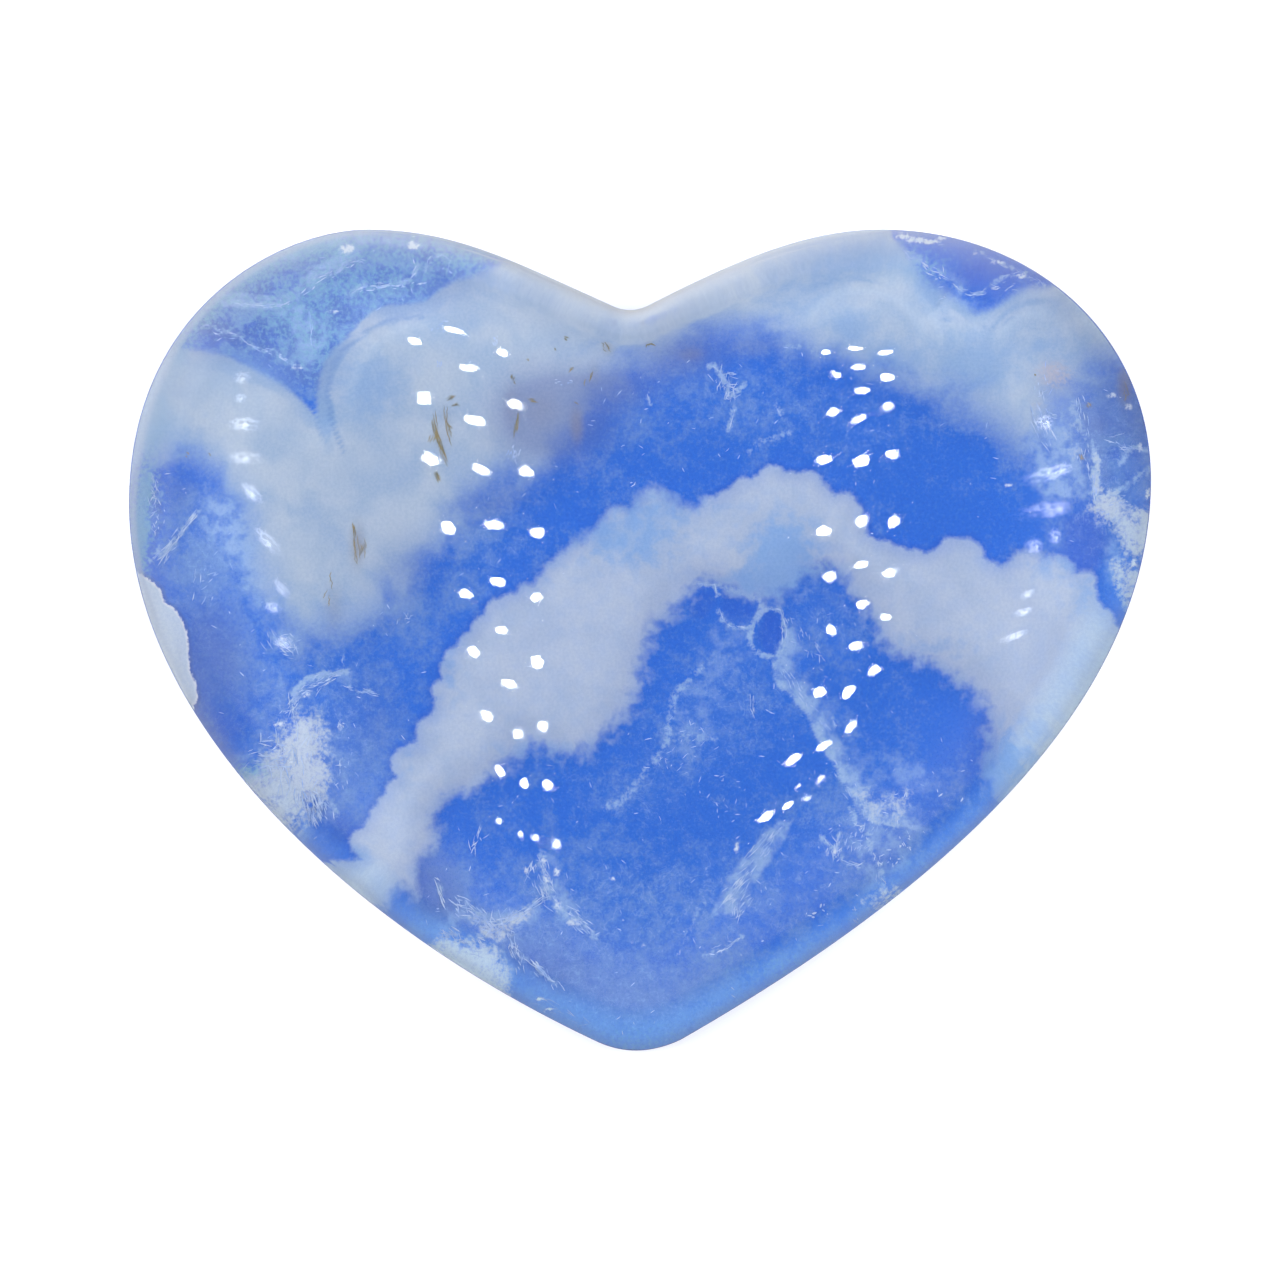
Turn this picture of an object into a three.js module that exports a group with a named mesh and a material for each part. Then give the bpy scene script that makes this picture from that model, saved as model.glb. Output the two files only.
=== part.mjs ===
// A heart-shaped doublet for jewellery: a domed cap of clear agate, cemented on a flat slab of blue stone.
// It lies face up on its back. X runs across the two lobes, Y from the tip to the cleft, and Z up through
// the dome. The origin is in the plane of the back, under the middle of the outline's box.
// All sizes are in millimetres.

import * as THREE from "three";

// Driving dimensions
const HALF_WIDTH = 15; // the lobes are 30 mm across
const HALF_LENGTH = 12.05; // and 24.1 mm from the tip to the lobes' tops
const BACKING_THICKNESS = 1.8;
const BOWL_FALL = 1.3; // the dome falls this much from crown to rim as an even bowl
const SHOULDER_FALL = 2.6; // and this much more in a full shoulder, close to the rim

// The outline's corners and tangent points, seen from above
const TIP = { left: [-1.3, -11.77], corner: [-0.1, -12.35], right: [1.2, -11.73] };
const CLEFT = { left: [-0.9, 9.85], corner: [-0.3, 9.53], right: [0.3, 9.85] };
const LEFT = { side: [-HALF_WIDTH, 4.0], top: [-8.0, HALF_LENGTH] };
const RIGHT = { side: [HALF_WIDTH, 4.7], top: [7.1, HALF_LENGTH] };

// Curve handles between them, in the order in which the outline runs, anticlockwise from the tip
const RIGHT_FLANK = [[12.3, -5.4], [HALF_WIDTH, 0.3]];
const RIGHT_SHOULDER = [[HALF_WIDTH, 9.1], [11.4, HALF_LENGTH]];
const RIGHT_BROW = [[5.1, HALF_LENGTH], [3.2, 11.35]];
const LEFT_BROW = [[-3.7, 11.1], [-5.4, HALF_LENGTH]];
const LEFT_SHOULDER = [[-10.5, HALF_LENGTH], [-HALF_WIDTH, 9.8]];
const LEFT_FLANK = [[-HALF_WIDTH, -2.2], [-8.8, -8.25]];

const OUTLINE_STEP = 0.6; // spacing of the outline's points
const LEAST_STEPS = 6; // in the short curves at the tip and the cleft

// The dome's top, and the half-lengths of the oval that its contour lines become there
const CROWN = new THREE.Vector2(0, 0.9);
const CROWN_HALF_WIDTH = 13;
const CROWN_HALF_LENGTH = 11;
const OVAL_FADE = 1.6; // higher keeps the contours oval until nearer the rim

const BACK_EDGE_REACH = 0.98; // the back's bevel starts at this share of the way out
const BACK_BEVEL = 0.3; // height of that bevel
const SHOULDER_POWER = 20; // higher makes the shoulder fuller and the side steeper
const DOME_RINGS = 16;

// The heart's outline as one closed path
function heartPath() {
  const path = new THREE.Path();
  path.moveTo(...TIP.right);
  path.bezierCurveTo(...RIGHT_FLANK.flat(), ...RIGHT.side);
  path.bezierCurveTo(...RIGHT_SHOULDER.flat(), ...RIGHT.top);
  path.bezierCurveTo(...RIGHT_BROW.flat(), ...CLEFT.right);
  path.quadraticCurveTo(...CLEFT.corner, ...CLEFT.left);
  path.bezierCurveTo(...LEFT_BROW.flat(), ...LEFT.top);
  path.bezierCurveTo(...LEFT_SHOULDER.flat(), ...LEFT.side);
  path.bezierCurveTo(...LEFT_FLANK.flat(), ...TIP.left);
  path.quadraticCurveTo(...TIP.corner, ...TIP.right);
  return path;
}

// Points along the outline, with each curve's own end points among them
function outlinePoints() {
  return heartPath().curves.flatMap((curve) => {
    const steps = Math.max(LEAST_STEPS, Math.round(curve.getLength() / OUTLINE_STEP));
    return curve.getSpacedPoints(steps).slice(0, -1);
  });
}

// The oval's radius on the line from the crown towards a point
function ovalRadius(towards) {
  return 1 / Math.hypot(towards.x / CROWN_HALF_WIDTH, towards.y / CROWN_HALF_LENGTH);
}

// A point on the contour line at a share of the way out: oval near the crown, the heart's outline at 1
function onContour(outlinePoint, reach) {
  const arm = outlinePoint.clone().sub(CROWN);
  const direction = arm.clone().normalize();
  const heartShare = reach ** OVAL_FADE;
  const radius = arm.length() * heartShare + ovalRadius(direction) * (1 - heartShare);
  return direction.multiplyScalar(radius * reach).add(CROWN);
}

// Turns a profile of (reach, height) points about the crown, and presses the round form to the heart
function heartSolid(profile, outline) {
  const geometry = new THREE.LatheGeometry(profile, outline.length);
  const position = geometry.getAttribute("position");
  for (let i = 0; i < position.count; i++) {
    const outlinePoint = outline[Math.floor(i / profile.length) % outline.length];
    const { x: reach, y: height } = profile[i % profile.length];
    const place = onContour(outlinePoint, reach);
    position.setXYZ(i, place.x, place.y, height);
  }
  geometry.computeVertexNormals();
  return geometry;
}

// The slab of blue stone: flat on both faces, with a small bevel round the back
function backingProfile() {
  return [
    new THREE.Vector2(0, 0),
    new THREE.Vector2(BACK_EDGE_REACH, 0),
    new THREE.Vector2(1, BACK_BEVEL),
    new THREE.Vector2(1, BACKING_THICKNESS),
    new THREE.Vector2(0, BACKING_THICKNESS),
  ];
}

// The agate cap: flat where it is cemented, and above that a low dome down to the joint's edge
function capProfile() {
  const profile = [new THREE.Vector2(0, BACKING_THICKNESS)];
  for (let ring = DOME_RINGS; ring >= 0; ring--) {
    const reach = Math.sin((ring / DOME_RINGS) * (Math.PI / 2)); // the rings crowd together at the rim
    const bowl = BOWL_FALL * (1 - reach ** 2);
    const shoulder = SHOULDER_FALL * (1 - reach ** SHOULDER_POWER);
    profile.push(new THREE.Vector2(reach, BACKING_THICKNESS + bowl + shoulder));
  }
  return profile;
}

const blueStone = new THREE.MeshStandardMaterial({ color: 0x3c70d6, roughness: 0.2, metalness: 0 });
const clearAgate = new THREE.MeshStandardMaterial({
  color: 0xafc3e0,
  roughness: 0.05,
  metalness: 0,
  transparent: true,
  opacity: 0.5,
});

function piece(name, geometry, material) {
  const mesh = new THREE.Mesh(geometry, material);
  mesh.name = name;
  return mesh;
}

const outline = outlinePoints();
const doublet = new THREE.Group();
doublet.add(piece("stone_backing", heartSolid(backingProfile(), outline), blueStone));
doublet.add(piece("agate_cap", heartSolid(capProfile(), outline), clearAgate));

export default doublet;
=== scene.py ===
import math

import bpy
import numpy as np
from mathutils import Matrix, Vector
from mathutils.geometry import interpolate_bezier


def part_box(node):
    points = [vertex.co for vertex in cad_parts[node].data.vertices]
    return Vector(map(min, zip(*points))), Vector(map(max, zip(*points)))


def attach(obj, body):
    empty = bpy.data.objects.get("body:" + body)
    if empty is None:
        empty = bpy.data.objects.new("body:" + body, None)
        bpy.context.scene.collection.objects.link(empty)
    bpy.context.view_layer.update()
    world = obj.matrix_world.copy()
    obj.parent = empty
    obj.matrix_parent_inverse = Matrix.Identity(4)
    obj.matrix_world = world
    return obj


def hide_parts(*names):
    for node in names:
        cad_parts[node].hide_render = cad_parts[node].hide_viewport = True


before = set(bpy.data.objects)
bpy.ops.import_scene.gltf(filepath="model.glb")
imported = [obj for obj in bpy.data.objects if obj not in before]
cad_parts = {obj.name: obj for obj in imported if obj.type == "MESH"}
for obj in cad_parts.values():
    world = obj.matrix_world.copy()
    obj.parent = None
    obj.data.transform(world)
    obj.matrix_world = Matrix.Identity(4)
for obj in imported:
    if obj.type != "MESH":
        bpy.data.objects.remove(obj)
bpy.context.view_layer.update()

MM = 0.001

# The stone lies face up on a white table, and is seen from straight above. Its 30 mm fill 1022 of the
# picture's 1280 pixels, measured at its widest, and a long lens a foot away keeps its sides out of view.
PICTURE_PIXELS = 1280
STONE_PIXELS = 1022
LENS = 300
SENSOR = 36
NEAREST_SEEN = 10 * MM
cap_low, cap_high = (Vector(corner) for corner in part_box("agate_cap"))
field_width = (cap_high.x - cap_low.x) * PICTURE_PIXELS / STONE_PIXELS
sight_length = field_width * LENS / SENSOR

camera_data = bpy.data.cameras.new("camera")
camera_data.lens = LENS
camera_data.sensor_width = SENSOR
camera_data.clip_start = NEAREST_SEEN
camera = bpy.data.objects.new("camera", camera_data)
camera.location = (0, 0, cap_low.z + sight_length)
bpy.context.collection.objects.link(camera)
bpy.context.scene.camera = camera
bpy.context.scene.view_settings.view_transform = "Standard"

# A white tabletop in a small photo tent. A soft box stands on each side, the cloth is white all round,
# and the roof has a dim opening that the camera looks through, so the polish mirrors little from above.
TABLE_SIZE = 1.6
TABLE_CELLS = 8
TABLE_DROP = 0.02 * MM
TABLE_WHITE = (0.9, 0.9, 0.9, 1)
TABLE_GLOW = 0.12
WHITE = (1, 1, 1, 1)
ROOF_CLOTH = 0.95
ROOF_OPENING = 0.35
OPENING_EDGES = (30, 14)  # degrees from straight up at which the opening starts, and is fully open
WALL_DIM = 0.34
WALL_LIT = 1.6
LIT_SIDE = (-0.5, 0.86, 0)
WALL_TURN = (-0.2, 0.8)  # how far a direction faces the lit side where the wall is dim, and fully lit
WALL_TOP = (0.02, 0.35)  # how far it points up where the wall starts to turn into the roof, and has done
SOFT_BOX_SIZE = 0.30
SOFT_BOXES = [(-0.34, 0.10, 0.36, 2.0), (0.34, 0.14, 0.36, 2.0)]  # x, y and z in metres, and power

bpy.ops.object.select_all(action="DESELECT")
bpy.ops.mesh.primitive_grid_add(x_subdivisions=TABLE_CELLS, y_subdivisions=TABLE_CELLS, size=TABLE_SIZE)
table = bpy.context.object
table.name = "table"
table.location.z = -TABLE_DROP
bpy.ops.object.transform_apply(location=True, rotation=False, scale=False)
table_paint = bpy.data.materials.new("white_table")
table_paint.use_nodes = True
table_shader = table_paint.node_tree.nodes["Principled BSDF"]
table_shader.inputs["Base Color"].default_value = TABLE_WHITE
table_shader.inputs["Roughness"].default_value = 0.8
table_shader.inputs["Specular IOR Level"].default_value = 0.1
table_shader.inputs["Emission Color"].default_value = WHITE
table_shader.inputs["Emission Strength"].default_value = TABLE_GLOW
table.data.materials.append(table_paint)
table.visible_glossy = False


def feed(tree, socket, source):
    if isinstance(source, bpy.types.NodeSocket):
        tree.links.new(source, socket)
    else:
        socket.default_value = source


def node(tree, kind, inputs=None, **settings):
    """Adds a node; inputs maps a socket's name or number to a value or to another node's output."""
    added = tree.nodes.new(kind)
    for name, value in settings.items():
        setattr(added, name, value)
    for name, source in (inputs or {}).items():
        feed(tree, added.inputs[name], source)
    return added


def ramp(tree, value, start, end, low=0.0, high=1.0):
    """Goes softly from low to high while the value goes from start to end."""
    sockets = {"Value": value, "From Min": start, "From Max": end, "To Min": low, "To Max": high}
    return node(tree, "ShaderNodeMapRange", sockets, interpolation_type="SMOOTHSTEP").outputs[0]


world = bpy.data.worlds.new("photo_tent")
world.use_nodes = True
tent_tree = world.node_tree
tent = tent_tree.nodes["Background"]
direction = node(tent_tree, "ShaderNodeTexCoord").outputs["Generated"]
upward = node(tent_tree, "ShaderNodeSeparateXYZ", {0: direction}).outputs[2]
opening_starts, opening_full = (math.cos(math.radians(edge)) for edge in OPENING_EDGES)
roof = ramp(tent_tree, upward, opening_starts, opening_full, ROOF_CLOTH, ROOF_OPENING)
toward_lit = node(tent_tree, "ShaderNodeVectorMath", {0: direction, 1: LIT_SIDE}, operation="DOT_PRODUCT")
wall = ramp(tent_tree, toward_lit.outputs["Value"], *WALL_TURN, WALL_DIM, WALL_LIT)
above_wall = ramp(tent_tree, upward, *WALL_TOP)
tent_sockets = {0: above_wall, 2: wall, 3: roof}
feed(tent_tree, tent.inputs["Strength"], node(tent_tree, "ShaderNodeMix", tent_sockets).outputs[0])
tent.inputs["Color"].default_value = WHITE
bpy.context.scene.world = world


def aim(lamp, place, target):
    lamp.location = place
    lamp.rotation_euler = (Vector(target) - Vector(place)).to_track_quat("-Z", "Y").to_euler()
    bpy.context.collection.objects.link(lamp)


for number, (box_x, box_y, box_z, box_power) in enumerate(SOFT_BOXES):
    box_light = bpy.data.lights.new(f"soft_box_{number}", "AREA")
    box_light.size = SOFT_BOX_SIZE
    box_light.energy = box_power
    soft_box = bpy.data.objects.new(f"soft_box_{number}", box_light)
    soft_box.visible_glossy = False
    aim(soft_box, (box_x, box_y, box_z), (0, 0, 0))

# The backing is a flat slab of cobalt blue stone, sawn to the heart's outline. Its side is polished with
# the cap's, its back is left as it came off the lap, and a small bevel keeps the back's edge from chipping.
def srgb(red, green, blue):
    """A colour as a maker reads it off a paint card, 0 to 255, made linear for a shader."""
    parts = [channel / 255 for channel in (red, green, blue)]
    linear = [part / 12.92 if part <= 0.04045 else ((part + 0.055) / 1.055) ** 2.4 for part in parts]
    return (*linear, 1)


HALF_WIDTH = 15 * MM
OUTLINE_KNOTS = [  # knot, then the handles before and after it, in millimetres, anticlockwise from the tip
    ((1.2, -11.73), (0.333, -12.143), (12.3, -5.4)),
    ((15, 4.7), (15, 0.3), (15, 9.1)),
    ((7.1, 12.05), (11.4, 12.05), (5.1, 12.05)),
    ((0.3, 9.85), (3.2, 11.35), (-0.1, 9.637)),
    ((-0.9, 9.85), (-0.5, 9.637), (-3.7, 11.1)),
    ((-8.0, 12.05), (-5.4, 12.05), (-10.5, 12.05)),
    ((-15, 4.0), (-15, 9.8), (-15, -2.2)),
    ((-1.3, -11.77), (-8.8, -8.25), (-0.5, -12.157)),
]
OUTLINE_STEPS = 240
CROWN = np.array((0, 0.9)) * MM
BACKING_TOP = cap_low.z
BACKING_POINTS = 900
BACK_BEVEL = 0.28 * MM
SEAM_BEVEL = 0.05 * MM
HAIR = 0.01 * MM
HARD_EDGE = math.radians(35)
DARK_STONE, LIGHT_STONE = srgb(46, 92, 190), srgb(72, 122, 212)
DARK_FLECK, PALE_FLECK = srgb(30, 66, 160), srgb(120, 158, 222)
LAPPED_STONE = srgb(118, 146, 200)
LAPPED_BACK = (0.12, 0.02)  # heights in millimetres between which the lap's scratches start
LAP_TURN = (0, 0, 0.5)
LAP_STRETCH = (0.6, 9, 1)
POLISHED, LAPPED = 0.16, 0.55  # roughness
SCRATCH_DEPTH = 0.02 * MM

heart_points = []
for first, second in zip(OUTLINE_KNOTS, OUTLINE_KNOTS[1:] + OUTLINE_KNOTS[:1]):
    stretch = (Vector((*point, 0)) for point in (first[0], first[2], second[1], second[0]))
    heart_points += [point.xy for point in interpolate_bezier(*stretch, OUTLINE_STEPS)[:-1]]
heart_arms = np.array(heart_points) * MM - CROWN
heart_angles = np.arctan2(heart_arms[:, 1], heart_arms[:, 0])
heart_radii = np.hypot(heart_arms[:, 0], heart_arms[:, 1])


def outline_radius(angle):
    return np.interp(angle, heart_angles, heart_radii, period=2 * math.pi)


def get_places(piece):
    places = np.empty(len(piece.data.vertices) * 3)
    piece.data.vertices.foreach_get("co", places)
    return places.reshape(-1, 3)


def set_places(piece, places):
    piece.data.vertices.foreach_set("co", places.ravel())
    piece.data.update()


def select_edges(piece, wanted):
    """Selects, in edit mode, only the edges for whose two ends wanted(ends) holds."""
    bpy.ops.mesh.select_all(action="DESELECT")
    bpy.ops.object.mode_set(mode="OBJECT")
    corners = piece.data.vertices
    for edge in piece.data.edges:
        edge.select = wanted([corners[i].co for i in edge.vertices])
    bpy.ops.object.mode_set(mode="EDIT")
    bpy.ops.mesh.select_mode(type="EDGE")


bpy.ops.object.select_all(action="DESELECT")
bpy.ops.mesh.primitive_circle_add(vertices=BACKING_POINTS, radius=HALF_WIDTH, fill_type="NGON")
backing = bpy.context.object
backing.name = "blue_backing"
round_places = get_places(backing)
round_angles = np.arctan2(round_places[:, 1], round_places[:, 0])
round_radii = outline_radius(round_angles)
round_places[:, 0] = CROWN[0] + round_radii * np.cos(round_angles)
round_places[:, 1] = CROWN[1] + round_radii * np.sin(round_angles)
set_places(backing, round_places)

bpy.ops.object.mode_set(mode="EDIT")
bpy.ops.mesh.select_all(action="SELECT")
bpy.ops.mesh.extrude_region_move(TRANSFORM_OT_translate={"value": (0, 0, BACKING_TOP)})
bpy.ops.mesh.select_all(action="SELECT")
bpy.ops.mesh.normals_make_consistent(inside=False)
select_edges(backing, lambda ends: all(end.z < HAIR for end in ends))
bpy.ops.mesh.bevel(offset=BACK_BEVEL, segments=4, affect="EDGES")
select_edges(backing, lambda ends: all(end.z > BACKING_TOP - HAIR for end in ends))
bpy.ops.mesh.bevel(offset=SEAM_BEVEL, segments=2, affect="EDGES")
bpy.ops.object.mode_set(mode="OBJECT")
bpy.ops.object.shade_smooth_by_angle(angle=HARD_EDGE)


def maths(tree, operation, first, second=0.0):
    return node(tree, "ShaderNodeMath", {0: first, 1: second}, operation=operation).outputs[0]


def over(tree, mask, below, above):
    return node(tree, "ShaderNodeMix", {0: mask, 6: below, 7: above}, data_type="RGBA").outputs[2]


def grain(tree, places, scale, detail=3.0, roughness=0.55, distortion=0.0):
    sockets = {"Vector": places, "Scale": scale, "Detail": detail, "Roughness": roughness,
               "Distortion": distortion}
    return node(tree, "ShaderNodeTexNoise", sockets, noise_dimensions="2D").outputs["Fac"]


def start_material(piece, name):
    """A new material on the piece: its nodes and its shader."""
    material = bpy.data.materials.new(name)
    material.use_nodes = True
    piece.data.materials.clear()
    piece.data.materials.append(material)
    return material.node_tree, material.node_tree.nodes["Principled BSDF"]


def object_mm(tree):
    """The piece's Object coordinates in millimetres."""
    places = node(tree, "ShaderNodeTexCoord").outputs["Object"]
    return node(tree, "ShaderNodeMapping", {"Vector": places, "Scale": (1 / MM, 1 / MM, 1 / MM)}).outputs[0]


tree, shader = start_material(backing, "cobalt_stone")
in_mm = object_mm(tree)
cloud_sockets = {"Vector": in_mm, "Scale": 0.45, "Detail": 5, "Roughness": 0.6, "Distortion": 0.6}
cloud = node(tree, "ShaderNodeTexNoise", cloud_sockets).outputs["Fac"]
fleck = node(tree, "ShaderNodeTexNoise", {"Vector": in_mm, "Scale": 5, "Detail": 3}).outputs["Fac"]
blue = over(tree, ramp(tree, cloud, 0.35, 0.65), DARK_STONE, LIGHT_STONE)
blue = over(tree, ramp(tree, fleck, 0.60, 0.78, 0, 0.5), blue, PALE_FLECK)
blue = over(tree, ramp(tree, fleck, 0.40, 0.25, 0, 0.4), blue, DARK_FLECK)
height = node(tree, "ShaderNodeSeparateXYZ", {0: in_mm}).outputs[2]
on_back = ramp(tree, height, *LAPPED_BACK)
strokes = node(tree, "ShaderNodeMapping", {"Vector": in_mm, "Rotation": LAP_TURN, "Scale": LAP_STRETCH})
lapping = grain(tree, strokes.outputs[0], 1.0, 6, 0.7)
scuffed = maths(tree, "MULTIPLY", on_back, ramp(tree, lapping, 0.3, 0.7, 0.15, 0.45))
blue = over(tree, scuffed, blue, LAPPED_STONE)
feed(tree, shader.inputs["Base Color"], blue)
feed(tree, shader.inputs["Roughness"], ramp(tree, on_back, 0, 1, POLISHED, LAPPED))
scored = node(tree, "ShaderNodeBump", {"Height": maths(tree, "MULTIPLY", on_back, lapping), "Strength": 0.25,
                                       "Distance": SCRATCH_DEPTH})
feed(tree, shader.inputs["Normal"], scored.outputs[0])
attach(backing, "root")
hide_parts("stone_backing")

# The plumes grew in the agate from its flat side up: a milky band across the heart, round lobes of haze
# along its top and mossy tufts near its rim. Between them the agate is clear down to the blue stone,
# and the growth is only a film there. It is one crust, which the clear agate closes in on all sides.
GROWTH_CELLS = 290
GROWTH_REACH = 0.996
GROWTH_BASE = BACKING_TOP + 0.02 * MM
FILM = 0.05
SOFTENING = 20  # rounds of evening out the heights
CROWN_HALF_WIDTH = 13 * MM
CROWN_HALF_LENGTH = 11 * MM
OVAL_FADE = 1.6
CAP_TOP = cap_high.z
BOWL_FALL = 1.3 * MM  # the dome falls this much from crown to rim as an even bowl, the rest as a shoulder
SHOULDER_FALL = CAP_TOP - BACKING_TOP - BOWL_FALL
SHOULDER_POWER = 20  # a higher power makes the shoulder fuller and the side steeper
AGATE_IOR = 1.54
REACH_ROUNDS = 10
LEAST_REACH = 1e-6
FEEL = 0.05 * MM  # how far to each side the dome's slope is felt
SIGHT_ROUNDS = 14
SIGHT_STRIDE = 0.6
NEARNESS_ROUNDS = 3
FAR = 1e9
FADE_TURN = 20  # degrees over which a growth ring fades at its two ends
VEIL_EDGE = 0.08
LEAST_LINE = 0.09  # half the width of the thinnest line that the growth's net can hold
PAINTED_RIM_GAIN = (1.22, 1.32, 1.28, 1)  # painted light: the crust is brightened low down at the lower right rim, where it gets less light


def pressed_square(name, cells):
    """An even square net pressed into a round one: gives the piece, and each point's ring and angle."""
    bpy.ops.object.select_all(action="DESELECT")
    bpy.ops.mesh.primitive_grid_add(x_subdivisions=cells, y_subdivisions=cells, size=2)
    piece = bpy.context.object
    piece.name = name
    across, along = get_places(piece)[:, :2].T
    wide = np.abs(across) >= np.abs(along)
    ring = np.maximum(np.abs(across), np.abs(along))
    short, long = np.where(wide, along, across), np.where(wide, across, along)
    turn = math.pi / 4 * short / np.where(long == 0, 1, long)
    east_or_west = turn + np.where(across < 0, math.pi, 0)
    north_or_south = math.pi / 2 - turn + np.where(along < 0, math.pi, 0)
    return piece, ring, np.mod(np.where(wide, east_or_west, north_or_south), 2 * math.pi)


def oval_radius(angle):
    return 1 / np.hypot(np.cos(angle) / CROWN_HALF_WIDTH, np.sin(angle) / CROWN_HALF_LENGTH)


def contour(angle, reach):
    """The point at a share of the way out from the crown: contours turn from an oval to the heart."""
    heart_share = reach ** OVAL_FADE
    radius = (outline_radius(angle) * heart_share + oval_radius(angle) * (1 - heart_share)) * reach
    return CROWN[0] + radius * np.cos(angle), CROWN[1] + radius * np.sin(angle)


def reach_at(px, py):
    """The share of the way out from the crown at which a point lies."""
    arm = np.hypot(px - CROWN[0], py - CROWN[1])
    angle = np.arctan2(py - CROWN[1], px - CROWN[0])
    heart, oval = outline_radius(angle), oval_radius(angle)
    reach = np.minimum(arm / heart, 1)
    for _ in range(REACH_ROUNDS):
        heart_share = reach ** OVAL_FADE
        miss = (heart * heart_share + oval * (1 - heart_share)) * reach - arm
        slope = oval + (heart - oval) * (1 + OVAL_FADE) * heart_share
        reach = np.clip(reach - miss / slope, LEAST_REACH, 1)
    return reach


def dome_at(reach):
    return CAP_TOP - BOWL_FALL * reach ** 2 - SHOULDER_FALL * reach ** SHOULDER_POWER


def dome_over(px, py):
    return dome_at(reach_at(px, py))


def dome_normal(px, py):
    slope_x = (dome_over(px - FEEL, py) - dome_over(px + FEEL, py)) / (2 * FEEL)
    slope_y = (dome_over(px, py - FEEL) - dome_over(px, py + FEEL)) / (2 * FEEL)
    normal = np.stack((slope_x, slope_y, np.ones_like(slope_x)))
    return normal / np.linalg.norm(normal, axis=0)


def sight_to(px, py):
    """The camera's line to the dome over a point: where it meets the dome, and its direction."""
    meets = np.stack((px, py, dome_over(px, py)))
    sight = meets - np.array(camera.location)[:, None]
    return meets, sight / np.linalg.norm(sight, axis=0)


def sight_lands(px, py):
    """Where the camera's line through a point of the dome, bent by the agate, lands on the growth."""
    meets, sight = sight_to(px, py)
    normal = dome_normal(px, py)
    facing = -(sight * normal).sum(axis=0)
    inner = sight / AGATE_IOR
    inner += (facing / AGATE_IOR - np.sqrt(1 - (1 - facing ** 2) / AGATE_IOR ** 2)) * normal
    fall = (GROWTH_BASE - meets[2]) / inner[2]
    return px + inner[0] * fall, py + inner[1] * fall


def seen_size(px, py):
    """How much larger than at the joint a thing on the dome is seen, because it is nearer."""
    return sight_length / (camera.location.z - dome_over(px, py))


def seen_at(growth_x, growth_y):
    """The place in the picture, in millimetres at the joint, where a point of the growth is seen."""
    px, py = growth_x.copy(), growth_y.copy()
    for _ in range(SIGHT_ROUNDS):
        lands_x, lands_y = sight_lands(px, py)
        px += (growth_x - lands_x) * SIGHT_STRIDE
        py += (growth_y - lands_y) * SIGHT_STRIDE
    return px * seen_size(px, py) / MM, py * seen_size(px, py) / MM


def dome_seen(x, y):
    """The point of the dome that is seen at a place in the picture."""
    px, py = x * MM, y * MM
    for _ in range(NEARNESS_ROUNDS):
        size = seen_size(px, py)
        px, py = x * MM / size, y * MM / size
    return px, py


def inside(outline, x, y):
    """How far each point lies inside a closed outline, and below zero outside it."""
    ends = np.array(outline, float)
    starts = np.roll(ends, 1, axis=0)
    nearest = np.full(x.shape, FAR)
    within = np.zeros(x.shape, bool)
    for (x0, y0), (x1, y1) in zip(starts, ends):
        dx, dy = x1 - x0, y1 - y0
        share = np.clip(((x - x0) * dx + (y - y0) * dy) / (dx * dx + dy * dy), 0, 1)
        nearest = np.minimum(nearest, np.hypot(x - x0 - share * dx, y - y0 - share * dy))
        within ^= ((y0 > y) != (y1 > y)) & (x < dx * (y - y0) / (dy or 1) + x0)
    return np.where(within, nearest, -nearest)


def beside(line, x, y):
    """How far each point lies from an open line."""
    nearest = np.full(x.shape, FAR)
    for (x0, y0), (x1, y1) in zip(line, line[1:]):
        dx, dy = x1 - x0, y1 - y0
        share = np.clip(((x - x0) * dx + (y - y0) * dy) / (dx * dx + dy * dy), 0, 1)
        nearest = np.minimum(nearest, np.hypot(x - x0 - share * dx, y - y0 - share * dy))
    return nearest


def rise(value, start, end):
    """Goes softly from 0 to 1 while the value goes from start to end."""
    share = np.clip((value - start) / (end - start), 0, 1)
    return share * share * (3 - 2 * share)


def side(x, y, slope, start, end):
    """Goes softly from 0 to 1 across the stone, by how high a point lies over a sloping line."""
    return rise(y - slope * x, start, end)


def patches(x, y, start, ovals):
    """A slowly changing field: a start value, and soft (x, y, half width, half length, amount) ovals."""
    field = np.full(x.shape, float(start))
    for oval_x, oval_y, half_width, half_length, amount in ovals:
        away = ((x - oval_x) / half_width) ** 2 + ((y - oval_y) / half_length) ** 2
        field += amount * np.exp(-away)
    return field


def panes(x, y, outlines):
    """Areas with soft edges, each given as its edge's softness, its amount and its outline."""
    field = np.zeros(x.shape)
    for softness, amount, outline in outlines:
        field = np.maximum(field, amount * rise(inside(outline, x, y), -softness, softness))
    return field


def lines(x, y, veins):
    """Soft lines, each given as its half width, its amount and its points."""
    field = np.zeros(x.shape)
    for half_width, amount, points in veins:
        away = beside(points, x, y) / max(half_width, LEAST_LINE)
        field = np.maximum(field, amount * np.exp(-away ** 2))
    return field


def veils(x, y, cracks):
    """Sheets of milk on a crack's left side that fade away from it, each its fade, amount and points."""
    field = np.zeros(x.shape)
    for fade, amount, points in cracks:
        nearest = np.full(x.shape, FAR)
        on_left = np.zeros(x.shape, bool)
        for start, end in zip(points, points[1:]):
            away = beside((start, end), x, y)
            left = (end[0] - start[0]) * (y - start[1]) > (end[1] - start[1]) * (x - start[0])
            on_left = np.where(away < nearest, left, on_left)
            nearest = np.minimum(nearest, away)
        field = np.maximum(field, amount * np.exp(-((nearest / np.where(on_left, fade, VEIL_EDGE)) ** 2)))
    return field


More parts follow.
